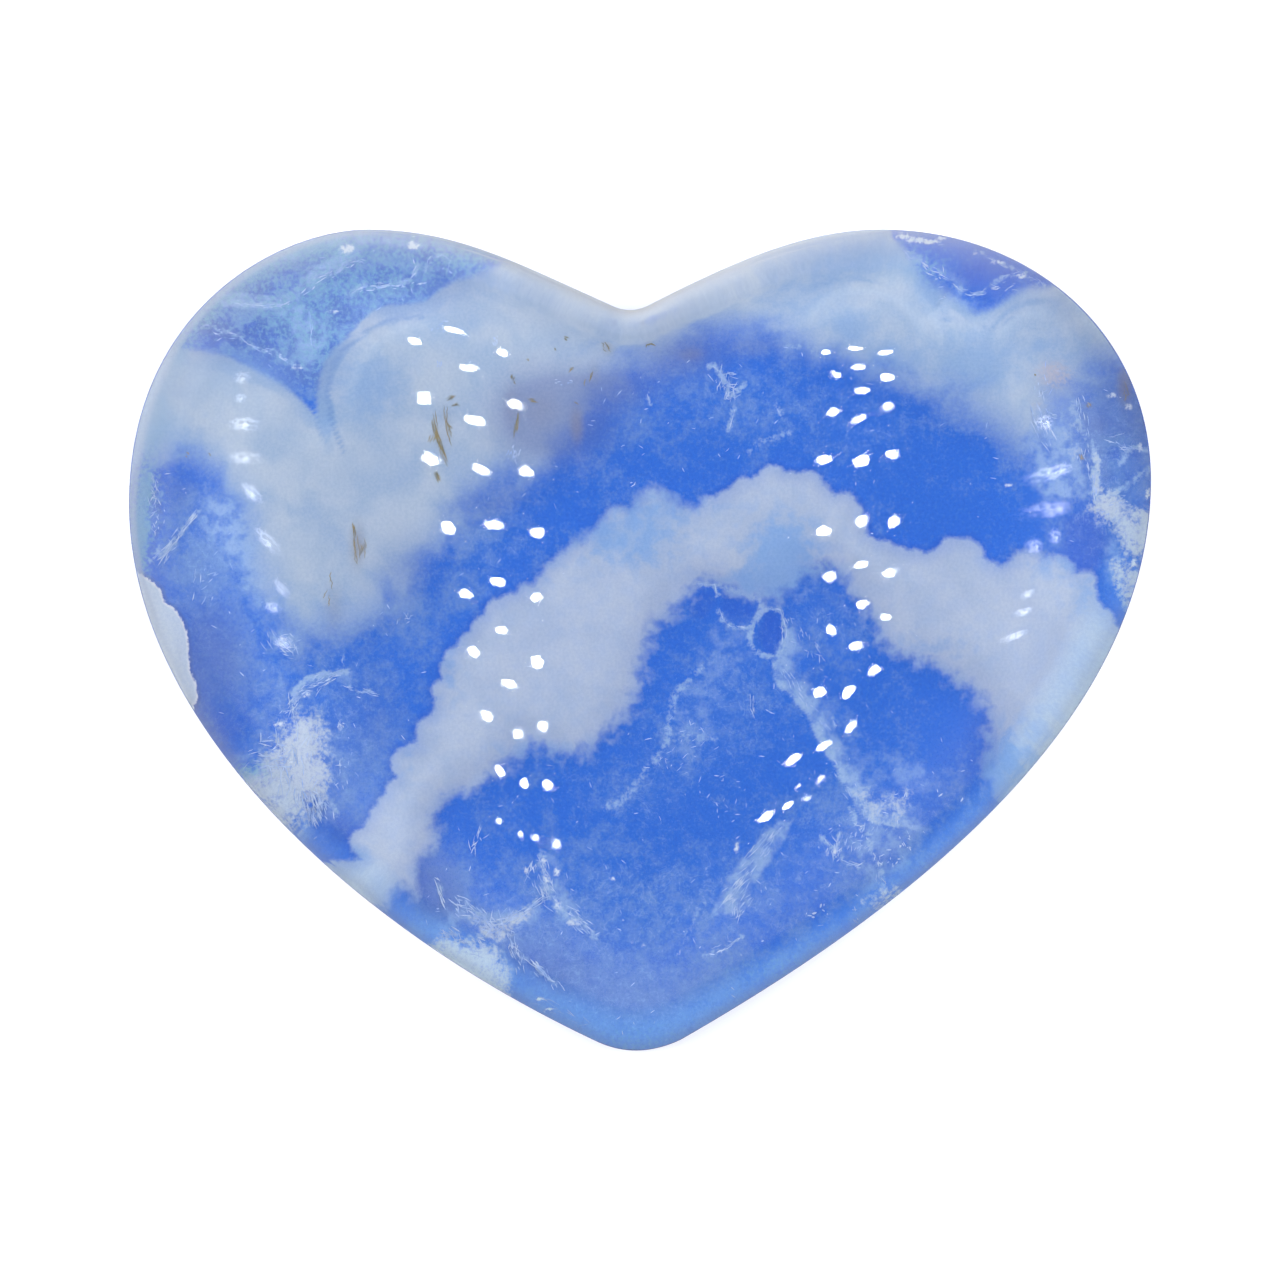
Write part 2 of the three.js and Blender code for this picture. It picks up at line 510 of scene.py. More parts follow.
def rings(x, y, arcs):
    """Soft arcs that add up, each given by its middle, radius, half width, amount and two angles."""
    field = np.zeros(x.shape)
    for ring_x, ring_y, radius, half_width, amount, first, last in arcs:
        away = (np.hypot(x - ring_x, y - ring_y) - radius) / half_width
        turn = np.degrees(np.arctan2(y - ring_y, x - ring_x)) % 360
        shown = rise(turn, first - FADE_TURN, first + FADE_TURN)
        shown = shown * rise(-turn, -last - FADE_TURN, FADE_TURN - last)
        field += amount * np.exp(-away ** 2) * shown
    return field


# All the growth's markings are in millimetres, where they are seen from above. An oval is its x, y, half
# width, half length and amount. The band runs from the lower left rim over the middle to the right rim:
# first its knobbly upper edge, then its softer lower one.
BAND_TOP = [
    (-10.2, -6.8), (-9.1, -6.6), (-8.7, -6.55), (-8.3, -6.6), (-8.45, -6.2), (-8.4, -5.8), (-8.0, -5.4),
    (-7.85, -5.0), (-7.6, -4.7), (-7.3, -4.3), (-7.1, -4.0), (-7.1, -3.6), (-7.0, -3.3), (-6.7, -3.15),
    (-6.45, -3.1), (-6.5, -2.7), (-6.35, -2.4), (-6.1, -2.2), (-5.95, -1.9), (-5.98, -1.4), (-5.75, -1.0),
    (-5.78, -0.7), (-5.6, -0.4), (-5.2, 0.0), (-4.8, 0.5), (-4.3, 1.1), (-3.9, 1.3), (-3.4, 1.5),
    (-3.0, 1.75), (-2.7, 2.1), (-2.4, 2.45), (-2.0, 2.75), (-1.5, 3.1), (-1.1, 3.5), (-0.8, 3.75),
    (-0.5, 3.85), (-0.15, 3.75), (0.1, 4.15), (0.4, 4.4), (0.7, 4.35), (1.0, 4.15), (1.4, 3.95),
    (1.75, 3.9), (2.0, 4.1), (2.4, 4.25), (2.7, 4.45), (3.0, 4.65), (3.4, 4.75), (3.7, 4.95), (4.0, 5.0),
    (4.4, 4.85), (4.8, 4.85), (5.2, 4.8), (5.5, 4.5), (5.8, 4.2), (6.2, 4.1), (6.45, 3.8), (6.55, 3.4),
    (6.7, 3.0), (7.3, 2.85), (7.7, 2.7), (8.1, 2.55), (8.5, 2.55), (8.8, 2.75), (9.1, 2.9), (9.4, 2.92),
    (9.7, 2.85), (9.95, 2.65), (10.1, 2.4), (10.3, 2.2), (10.7, 2.15), (10.95, 2.35), (11.3, 2.5),
    (11.6, 2.45), (11.9, 2.35), (12.5, 2.3), (12.7, 2.1), (12.8, 1.85), (13.4, 1.75), (13.5, 1.4),
    (13.6, 1.0), (13.85, 0.7), (14.1, 0.3), (15.0, 0.1),
]
BAND_BOTTOM = [
    (15.0, -4.0), (11.2, -5.2), (10.5, -4.6), (10.3, -4.2), (10.3, -3.6), (10.35, -3.2), (10.25, -2.8),
    (10.3, -2.4), (10.2, -2.0), (9.95, -1.7), (9.6, -1.4), (9.2, -1.15), (8.6, -0.75), (8.2, -0.6),
    (7.6, -0.5), (7.3, -0.3), (7.05, 0.0), (6.95, 0.5), (6.5, 1.0), (6.1, 1.5), (5.9, 2.0), (5.4, 2.15),
    (4.9, 1.9), (4.5, 1.4), (4.0, 1.25), (3.5, 1.15), (2.9, 1.35), (2.3, 1.6), (2.0, 1.7), (1.7, 1.6),
    (1.4, 1.3), (1.0, 0.85), (0.6, 0.55), (0.3, 0.1), (0.15, -0.5), (0.0, -0.8), (0.0, -1.3), (-0.3, -2.1),
    (-0.7, -2.4), (-1.0, -2.8), (-1.4, -3.1), (-1.9, -3.4), (-2.7, -3.2), (-3.2, -3.1), (-3.8, -3.6),
    (-4.2, -3.9), (-4.6, -4.2), (-5.0, -4.5), (-5.5, -4.55), (-5.8, -4.7), (-6.0, -5.1), (-6.05, -5.6),
    (-6.0, -6.0), (-6.5, -6.5), (-6.65, -6.9), (-6.5, -7.3), (-6.6, -7.55), (-7.0, -7.4), (-7.3, -7.6),
    (-7.6, -7.9), (-8.2, -8.8),
]
# A flat white lens that the left rim cuts through
RIM_LENS = [
    (-15.6, 2.3), (-14.7, 1.95), (-14.4, 1.75), (-14.1, 1.5), (-14.0, 1.1), (-13.7, 0.9), (-13.5, 0.6),
    (-13.35, 0.2), (-13.3, -0.3), (-13.25, -0.9), (-13.05, -1.3), (-13.0, -1.7), (-13.1, -2.1),
    (-14.5, -2.6),
]
# The haze: its lobes' round edges along the top, and where it has faded out below
HAZE_TOP = [
    (-16, 8.9), (-13.5, 8.6), (-12.6, 8.48), (-12.1, 8.35), (-11.6, 8.1), (-11.0, 7.8), (-10.5, 7.5),
    (-10.0, 7.1), (-9.7, 6.8), (-9.5, 6.55), (-9.5, 7.1), (-9.42, 7.7), (-9.25, 8.2), (-9.0, 8.55),
    (-8.6, 8.9), (-8.2, 9.35), (-7.8, 9.7), (-7.4, 9.85), (-6.8, 9.86), (-6.3, 9.95), (-6.0, 10.2),
    (-5.3, 10.7), (-4.8, 10.85), (-4.3, 11.0), (-3.8, 11.15), (-3.0, 12.5), (7.0, 13.5), (7.4, 11.85),
    (7.9, 11.4), (8.4, 10.95), (9.05, 10.25), (9.5, 9.9), (9.9, 9.65), (10.3, 9.75), (10.7, 10.0),
    (11.1, 10.3), (11.5, 10.42), (12.0, 10.4), (12.6, 10.6), (17, 10),
]
HAZE_BOTTOM = [
    (17, 7.6), (14.6, 7.9), (13.7, 7.7), (13.0, 7.2), (12.5, 6.3), (12.0, 5.7), (11.5, 5.5), (11.2, 5.6),
    (10.6, 6.1), (10.0, 6.5), (9.0, 6.8), (8.2, 7.1), (7.6, 7.4), (6.8, 7.8), (6.0, 8.0), (5.2, 8.1),
    (4.4, 8.5), (3.4, 8.8), (2.4, 8.7), (1.6, 8.8), (0.8, 8.5), (0.0, 8.0), (-0.9, 7.7), (-1.3, 7.0),
    (-1.5, 6.2), (-2.0, 5.4), (-2.8, 4.9), (-3.9, 4.5), (-4.6, 3.9), (-5.3, 3.3), (-5.8, 2.6), (-6.4, 1.7),
    (-7.2, 1.0), (-8.0, 0.5), (-9.0, 0.1), (-10.0, -0.4), (-10.8, 0.2), (-11.3, 1.5), (-11.7, 3.0),
    (-12.1, 4.0), (-12.8, 4.8), (-13.6, 5.2), (-14.4, 4.9), (-16, 4.6),
]
# Ovals where the haze has a selvage along its edge, and where it is bluer
SELVAGE = [
    (-9.3, 8.0, 0.7, 1.8, 1.0), (-7.2, 10.0, 1.8, 0.5, 0.9), (-5, 10.9, 1.2, 0.4, 0.4),
    (8.2, 10.9, 0.8, 0.8, 0.4), (9.6, 9.8, 0.8, 0.5, 0.7), (10.8, 10.1, 0.8, 0.5, 0.6),
    (-12.0, 8.3, 1.4, 0.5, 0.45), (-10.6, 7.7, 1.2, 0.6, 0.6),
]
HAZE_BLUE = [
    (-8.0, 7.5, 1.2, 1.1, 0.9), (10.0, 8.2, 1.4, 1.1, 0.7), (6.2, 9.2, 0.6, 0.5, 1.0),
    (6.6, 11.4, 2.4, 0.6, 0.9), (-4.3, 10.6, 1.2, 0.5, 0.5), (7.4, 8.3, 1.0, 0.6, 0.6),
    (-13.6, 5.8, 1.2, 0.8, 0.6), (-9, 1.0, 1.2, 0.9, 0.4), (-5.6, 9.3, 1.2, 0.6, 0.3),
    (-0.5, 8.9, 1.2, 0.4, 0.3), (12.6, 8.6, 1.0, 0.8, 0.5), (-9.2, 6.2, 0.2, 0.6, 0.8),
    (8.6, 10.2, 0.5, 0.6, 0.8), (4.5, 10.4, 1.6, 0.7, 0.5), (12.6, 10.0, 1.0, 0.5, 0.4),
    (10, 8.4, 3.4, 1.8, 0.2), (11.8, 8.75, 0.3, 0.25, 0.5), (-12.2, 4.3, 0.8, 0.5, 0.5),
    (4.6, 9.6, 1.6, 0.7, 0.3),
]
# Its growth rings: x, y, radius, half width, amount, which is paler above zero, and the angles between
# which a ring shows. Then the dark seams where two lobes meet: half width, amount and points.
HAZE_RINGS = [
    (6.1, 8.6, 2.15, 0.17, -0.55, 60, 130), (6.6, 8.6, 2.55, 0.10, -0.3, 0, 60),
    (6.6, 8.6, 2.25, 0.16, 0.35, 0, 50), (6.5, 8.5, 1.85, 0.22, 0.4, 10, 150),
    (6.6, 8.6, 1.45, 0.14, -0.3, 0, 90), (6.2, 8.7, 1.1, 0.18, 0.2, 60, 170),
    (11.9, 8.2, 2.05, 0.12, 0.3, 80, 150), (11.9, 8.2, 1.82, 0.13, -0.65, 80, 155),
    (11.8, 8.3, 1.40, 0.22, 0.3, 70, 170), (-6.2, 7.0, 2.3, 0.14, 0.3, 80, 190),
]
HAZE_SEAMS = [
    (0.10, 0.9, [(-6.4, 9.5), (-7.0, 9.47), (-7.6, 9.3), (-8.1, 9.0), (-8.7, 8.5), (-9.05, 8.0),
                 (-9.15, 7.4), (-9.1, 6.8), (-9.0, 6.3), (-8.8, 5.8), (-8.7, 5.5)]),
    (0.12, 0.5, [(-9.5, 6.8), (-9.45, 6.3), (-9.3, 5.8)]),
    (0.08, 0.5, [(8.9, 9.45), (9.3, 9.4), (9.7, 9.35), (10.2, 9.2), (10.6, 9.2), (10.9, 9.5),
                 (11.3, 9.85)]),
]
# Ovals where an edge of the haze or of the band melts more, or less, than the rest of that edge
HAZE_MELT = [
    (-10.8, 7.8, 1.6, 0.9, 0.08), (-13, 8.5, 0.8, 0.5, 0.10), (8.5, 10.6, 0.9, 0.9, 0.45),
    (11.2, 10.2, 1.2, 0.5, 0.2), (-5, 10.9, 1.2, 0.6, 0.15), (9.8, 9.7, 0.7, 0.4, 0.2),
    (-14.5, 7, 0.6, 2, 0.2),
]
BAND_MELT = [
    (-1.6, 3.1, 1.5, 0.8, 0.45), (0.4, 4.2, 1.0, 0.6, 0.7), (1.5, 3.9, 0.5, 0.4, 0.5),
    (-3.2, 1.6, 0.8, 0.8, 0.2), (5.6, 4.4, 0.8, 0.5, 0.15), (12.0, 2.3, 1.4, 0.5, 0.35),
    (-6.3, -6.6, 0.8, 1.4, -0.7), (-5.4, -4.6, 0.8, 0.4, -0.5),
]
# How far the clear part is from deep blue, at 0, to lavender, at 1, where it turns dusky lilac, and
# where the band is bluer
BLUE_TONE = [
    (-0.5, -11.2, 8, 2.2, 0.8), (-5.8, -7.5, 1.2, 1.3, 0.7), (-1.6, -6.6, 1.2, 1.5, 0.2),
    (6.5, -7.6, 1.5, 1.2, 0.2), (-8.5, -4.4, 1.2, 1.3, 0.4), (-11.6, -0.6, 1.5, 2.2, 0.3),
    (-12.6, 2.2, 1.2, 1.6, 0.6), (-13.5, 4.2, 0.8, 0.8, 0.3), (-7, 0.8, 2.2, 0.9, 0.3),
    (-8.2, -1, 1.6, 1, 0.2), (-4.6, 3.0, 1.3, 1.0, 0.3), (3, 7.3, 1.6, 0.9, 0.2), (0.4, 6.3, 1.8, 1.2, 0.2),
    (1.5, -2.6, 1.1, 0.8, 0.15), (3.4, -1.8, 1.2, 1, -0.05), (6.6, 0.1, 0.8, 0.7, 0.3),
    (8, -3.4, 1, 0.7, 0.15), (5.6, -4.5, 0.7, 0.6, 0.3), (13.1, 3.1, 1, 0.9, 0.0), (4.7, -7, 1.2, 1.2, 0.1),
    (7.4, -6.6, 1, 1, 0.2), (-7.2, -3.6, 1.4, 2.4, 0.25), (-5.8, 1.6, 1.4, 1.2, 0.2),
    (9, -2.2, 1.8, 1.6, -0.28), (9, 3.9, 1.8, 1.2, -0.25), (2, -5, 1.6, 1.2, -0.15),
    (-9, 9.8, 5, 2.5, 0.75), (-10.7, 8.0, 1.4, 0.7, 0.6), (10, 11, 2, 1, -0.12), (14, 6, 1.2, 2.0, 0.7),
    (5, -9.4, 3, 0.6, 0.1), (9.2, -5.6, 1.5, 0.6, 0.2), (-3.4, -8.6, 1.2, 1.0, 0.3),
]
LILAC = [
    (-12.6, -0.6, 1.2, 2.0, 1.1), (-11.7, 9.1, 2.0, 1.0, 1.0), (-6.1, -7.3, 1.0, 1.2, 1.1),
    (-1, -10.4, 5, 2.2, 0.6), (10.0, 10.9, 1.8, 1.2, 0.2), (-2.6, 6.6, 1.7, 1.3, 2.0),
    (-8, 10.6, 4, 1.4, 1.0), (1.4, 8.3, 1.2, 0.7, 0.9), (-7, 2.2, 1.4, 1.4, 0.5),
    (12.2, 7.6, 0.9, 1.0, 0.5), (-13.5, 4.2, 0.7, 0.7, 0.6), (13.9, 6.0, 0.9, 1.6, 1.3),
    (-4.4, 4.0, 1.2, 0.6, 0.6), (7.4, -6.9, 1.2, 1.0, 0.5), (-9, -5.8, 0.8, 0.8, 0.7),
    (-8.0, -2.6, 1.2, 2.2, 0.6), (-9.6, 8.4, 1.0, 1.6, 0.9), (-0.8, 7.4, 1.4, 0.6, 0.8),
    (14.2, 3.4, 0.6, 1.6, 0.5), (-7.2, -7.9, 0.6, 0.5, 0.8), (-3.0, -9.4, 1.4, 1.2, 0.5),
    (3.4, 8.6, 1.0, 0.4, 0.5),
]
BAND_BLUE = [
    (-5.6, -1.0, 0.35, 1.2, 0.5), (-6.8, -3.6, 0.3, 0.7, 0.4), (2.0, 3.9, 1.2, 0.35, 0.2),
    (-6.4, -6.6, 0.5, 0.8, 0.3), (-0.8, 3.1, 1.4, 0.8, 0.8), (0.6, 3.9, 1.0, 0.7, 0.7),
    (0.3, 2.6, 1.4, 0.6, 0.4), (4.2, 2.7, 1.1, 1.0, 1.2), (4.2, 1.7, 1.1, 0.6, 0.8),
    (3.0, 1.7, 0.9, 0.4, 0.5), (8.2, -0.2, 2.2, 0.5, 0.4), (10.6, -3.9, 0.7, 1.2, 0.8),
    (13.2, 1.3, 0.8, 0.9, 0.5), (-3.3, 1.9, 1.0, 0.5, 0.35), (-3.0, -3.3, 1.6, 0.4, 0.5),
    (11.5, -3.4, 1.2, 1.0, 0.5), (-8.3, -6.4, 0.3, 0.4, 0.4), (12.2, 2.2, 1.2, 0.4, 0.6),
]
# Mossy, feathery white growth near the rim and along the cracks: softness of its edge, amount and outline
MOSS = [
    (0.65, 1.15, [(-10.15, -2.2), (-9.6, -2.25), (-9.3, -2.8), (-9.25, -3.6), (-9.2, -4.2), (-9.5, -4.7),
                  (-9.9, -5.2), (-10.5, -5.7), (-11.0, -5.2), (-11.8, -4.2), (-11.2, -3.8), (-10.8, -3.3),
                  (-10.5, -2.9), (-10.35, -2.5)]),
    (0.50, 1.15, [(-6.7, -9.3), (-5.8, -8.85), (-4.9, -9.0), (-4.3, -9.2), (-4.0, -9.8), (-3.85, -10.7),
                  (-4.6, -10.8), (-5.8, -10.0)]),
    (0.25, 0.75, [(-5.0, -8.1), (-4.5, -8.35), (-3.9, -8.2), (-3.3, -7.8), (-3.2, -8.0), (-3.7, -8.6),
                  (-4.2, -9.0), (-4.8, -8.8)]),
    (0.32, 0.95, [(13.2, 3.85), (13.5, 3.5), (13.9, 3.4), (14.1, 3.1), (14.3, 2.4), (14.7, 2.4),
                  (15.3, 3.2), (15.2, 3.8), (14.4, 3.95), (14.0, 4.3), (13.6, 4.35)]),
    (0.25, 0.42, [(6.2, -4.5), (6.6, -4.3), (7.2, -4.6), (7.8, -4.3), (8.1, -4.4), (7.9, -5.0), (7.7, -5.5),
                  (7.0, -5.4), (6.5, -5.1)]),
    (0.10, 0.7, [(13.15, 5.9), (13.45, 5.5), (13.55, 5.1), (13.45, 4.7), (13.75, 4.3), (13.3, 4.2),
                 (13.3, 4.7), (13.35, 5.1), (13.25, 5.5)]),
    (0.30, 0.3, [(12.7, 6.9), (13.0, 6.3), (13.0, 5.4), (12.6, 5.2), (12.4, 6.0)]),
    (0.25, 0.6, [(6.5, -7.7), (7.1, -7.3), (7.6, -7.2), (7.8, -7.7), (7.2, -8.2)]),
    (0.30, 0.9, [(13.9, 2.3), (14.5, 2.2), (14.9, 1.4), (14.4, 0.9), (14.1, 1.5)]),
]
# Thin washes of milk, and after them those that hang from one side of a crack
WASHES = [
    (0.08, 1.2, [(-12.5, 10.3), (-11.5, 10.2), (-10.7, 10.1), (-10.2, 10.25), (-9.95, 10.6), (-9.7, 10.95),
                 (-9.2, 11.15), (-8.8, 11.45), (-8.4, 11.6), (-8.1, 11.45), (-8.6, 11.05), (-8.9, 10.75),
                 (-9.35, 10.6), (-9.55, 10.3), (-9.95, 10.0), (-10.4, 9.7), (-11.0, 9.7), (-11.6, 9.72),
                 (-12.3, 9.8)]),
    (0.25, 0.9, [(-10.9, 9.9), (-9.9, 9.9), (-9.3, 9.3), (-9.2, 8.6), (-9.7, 8.0), (-10.0, 8.3),
                 (-10.2, 9.0), (-10.6, 9.5)]),
    (0.15, 0.9, [(-11.0, 11.4), (-10, 11.75), (-8, 12.1), (-6, 11.9), (-5, 11.5), (-5.2, 11.2), (-6, 11.45),
                 (-7, 11.55), (-8, 11.62), (-9, 11.5), (-10, 11.2), (-10.8, 10.9)]),
    (0.2, 0.5, [(9.0, 10.3), (9.5, 10.1), (9.9, 9.9), (9.7, 9.6), (9.3, 9.6), (9.0, 9.9)]),
    (0.5, 0.8, [(-12.8, 4.3), (-12, 4.2), (-11.1, 3.2), (-10.8, 2), (-10.5, 0.9), (-11.3, 0.9),
                (-12.0, 2.2), (-12.8, 3.2)]),
    (0.4, 0.5, [(-11.0, -0.9), (-10.4, -1.0), (-10.1, -1.4), (-10.3, -1.7), (-10.9, -1.3)]),
    (0.35, 0.9, [(-10.9, 0.2), (-10.4, 0.35), (-10.0, 0.0), (-10.1, -0.3), (-10.6, -0.4)]),
    (0.5, 0.5, [(-11.4, -2.8), (-9.0, -2.2), (-8.6, -3.2), (-8.7, -4.6), (-9.0, -5.4), (-10.2, -6.2),
                (-12.4, -3.8)]),
    (0.3, 0.6, [(-6.4, -9.0), (-5.6, -7.9), (-4.8, -7.8), (-3.6, -7.9), (-3.0, -7.6), (-2.9, -8.0),
                (-3.6, -8.8), (-3.6, -9.6), (-3.8, -10.8), (-5.2, -10.4)]),
    (0.2, 0.6, [(-3.1, -6.2), (-2.5, -6.3), (-2.2, -7.2), (-1.8, -7.9), (-1.5, -8.5), (-1.9, -8.6),
                (-2.5, -8.0), (-2.9, -7.2)]),
    (0.1, 0.8, [(4.5, -5.3), (4.1, -5.3), (3.6, -5.7), (3.0, -6.4), (2.6, -6.9), (2.2, -7.7), (2.1, -8.05),
                (2.5, -8.15), (3.2, -7.9), (3.3, -7.2), (3.7, -6.7), (4.2, -6.0)]),
    (0.25, 0.5, [(6.0, -5.0), (6.8, -5.3), (7.9, -5.6), (8.4, -6.0), (7.8, -6.8), (7.0, -7.6), (6.5, -7.2),
                 (6.2, -6.2)]),
    (0.3, 0.5, [(7.2, -3.3), (8.4, -3.6), (9.0, -4.2), (8.2, -4.6), (7.2, -4.2)]),
    (0.4, 0.4, [(2.3, 0.9), (3.3, 0.5), (3.5, -0.5), (2.6, -1.2), (2.1, -2.2), (2.2, -3.0), (1.6, -3.6),
                (0.6, -3.6), (0.8, -2.2), (1.6, -1.0), (1.9, 0.2)]),
    (0.3, 0.8, [(11.4, 6.6), (12.6, 6.4), (13.1, 5.2), (13.2, 4.3), (12.8, 4.0), (11.9, 4.1), (11.4, 4.7),
                (11.2, 5.6)]),
    (0.3, 0.6, [(13.6, 2.9), (14.1, 3.2), (14.3, 2.4), (14.1, 1.6), (13.6, 1.7), (13.5, 2.3)]),
    (0.2, 0.3, [(13.2, 5.6), (13.7, 5.2), (13.8, 4.4), (14.6, 4.4), (14.8, 5.4), (15.2, 5.4), (15.2, 3.8),
                (13.4, 3.9), (13.2, 4.6)]),
]
VEILS = [
    (0.62, 1.1, [(4.15, -0.1), (4.0, -0.4), (3.95, -1.0), (4.05, -1.25), (4.3, -1.45), (4.6, -1.75),
                 (4.9, -2.1), (5.05, -2.4), (5.2, -2.7), (5.3, -2.95), (5.5, -3.3), (5.7, -3.55),
                 (5.85, -3.8), (5.9, -4.05), (6.1, -4.3), (6.25, -4.6), (6.4, -4.95), (6.7, -5.2),
                 (6.95, -5.35), (7.3, -5.4), (7.7, -5.5)]),
    (1.4, 0.45, [(5.2, -2.7), (5.5, -3.3), (5.85, -3.8), (6.1, -4.3), (6.4, -4.95), (7.3, -5.4)]),
    (0.4, 0.5, [(-8.6, -0.9), (-8.9, -0.95), (-9.2, -0.95), (-9.6, -1.05), (-9.9, -1.2), (-10.15, -1.45),
                (-10.2, -1.8)]),
    (0.35, 0.5, [(7.9, 11.3), (8.3, 11.15), (8.7, 10.85), (9.1, 10.6), (9.4, 10.3)]),
]
# Bright specks
SPECKS = [
    (2.85, -6.1, 0.09, 0.14, 1.0), (5.75, -6.2, 0.13, 0.09, 1.0), (5.5, -6.25, 0.08, 0.06, 0.8),
    (-0.8, -7.0, 0.10, 0.06, 0.8), (-2.85, -6.5, 0.12, 0.12, 0.9), (-2.75, -7.0, 0.10, 0.15, 0.9),
    (-2.45, -6.8, 0.10, 0.14, 0.9), (-3.35, -6.75, 0.10, 0.12, 0.7), (-1.95, -8.3, 0.25, 0.12, 0.7),
    (-2.4, -7.8, 0.14, 0.2, 0.6), (10.8, 4.55, 0.14, 0.05, 0.9), (13.9, 7.2, 0.15, 0.07, 1.0),
    (14.35, 6.85, 0.12, 0.10, 0.8), (14.7, 5.65, 0.08, 0.14, 0.8), (14.92, 4.3, 0.07, 0.2, 1.0),
    (-8.8, -2.55, 0.06, 0.12, 0.8), (-10.32, -3.6, 0.05, 0.25, 0.8), (-10.7, -4.3, 0.05, 0.25, 0.6),
    (-10.65, -2.48, 0.3, 0.06, 0.8), (-10.5, -0.05, 0.12, 0.2, 0.7), (-9.8, -1.6, 0.12, 0.12, 0.7),
    (-8.6, 11.5, 0.2, 0.12, 1.3), (-6.65, 11.6, 0.16, 0.12, 1.3), (-10.05, 8.0, 0.12, 0.08, 0.9),
    (-9.0, 9.65, 0.25, 0.05, 0.7), (0.1, -9.0, 0.08, 0.04, 0.8), (-0.2, -8.85, 0.07, 0.04, 0.8),
    (1.15, -9.2, 0.06, 0.04, 0.7), (-0.7, -10.2, 0.12, 0.06, 0.6), (-0.5, -8.25, 0.05, 0.05, 0.6),
    (3.0, -9.3, 0.06, 0.05, 0.6), (8.55, -4.95, 0.05, 0.12, 0.6), (-2.95, -10.55, 0.15, 0.05, 0.9),
    (-2.65, -10.85, 0.15, 0.04, 0.8), (10.5, 11.1, 0.2, 0.07, 0.8), (11.2, 10.7, 0.12, 0.1, 0.9),
    (9.9, 11.35, 0.15, 0.05, 0.6), (-4.15, 8.9, 0.05, 0.12, 0.5), (14.5, 2.25, 0.15, 0.12, 0.8),
    (7.75, 11.85, 0.22, 0.06, 1.3), (8.1, 11.75, 0.25, 0.07, 1.3), (8.5, 11.7, 0.25, 0.06, 1.1),
    (8.85, 11.8, 0.15, 0.05, 0.9),
]
# Patches of the crust where it has cracked into darker and paler scales
CRACKLE = [
    (-11.5, 9.3, 2.4, 1.2, 1.0), (-8.3, 10.4, 2.6, 1.4, 1.0), (-5.4, 11.2, 1.2, 0.6, 0.8),
    (9.8, 10.9, 2.2, 0.9, 0.4), (14, 5.6, 1.2, 1.6, 0.6), (14, 1.6, 0.8, 1.4, 0.4),
    (-14.3, 4.0, 0.5, 1.8, 1.0), (-9.5, 8.0, 1.2, 1.2, 0.8),
]
# Milk as thin as smoke in the clear part
SMOKE = [
    (1.5, -2.8, 1.8, 1.6, 0.45), (3, -1.5, 1.4, 1.4, 0.45), (-0.5, -4.5, 1.6, 0.8, 0.5),
    (6.6, -5.8, 2.0, 1.6, 0.6), (3, -7.5, 2.6, 1.6, 0.5), (-3, -8.5, 3.0, 1.8, 0.6),
    (5.5, 0.6, 1.2, 1.2, 0.6), (-9.6, -2.5, 2.2, 2.6, 0.6), (3, 7, 2.0, 1.2, 0.4), (-4.5, 3, 1.6, 1.4, 0.4),
    (6.5, 6.2, 2.0, 1.6, 0.3), (9.6, -4.4, 1.0, 1.0, 0.4), (-12.6, 2.6, 1.4, 2.0, 0.6),
    (0, -11, 3, 1.2, 0.5), (13.2, 3.2, 1.0, 0.8, 0.2), (0, -7.5, 2.5, 1.5, 0.3), (-8, 10.3, 4, 1.6, 0.5),
    (13.9, 5.5, 1.2, 2.4, 0.6), (10, 10.8, 2, 1, 0.1),
]
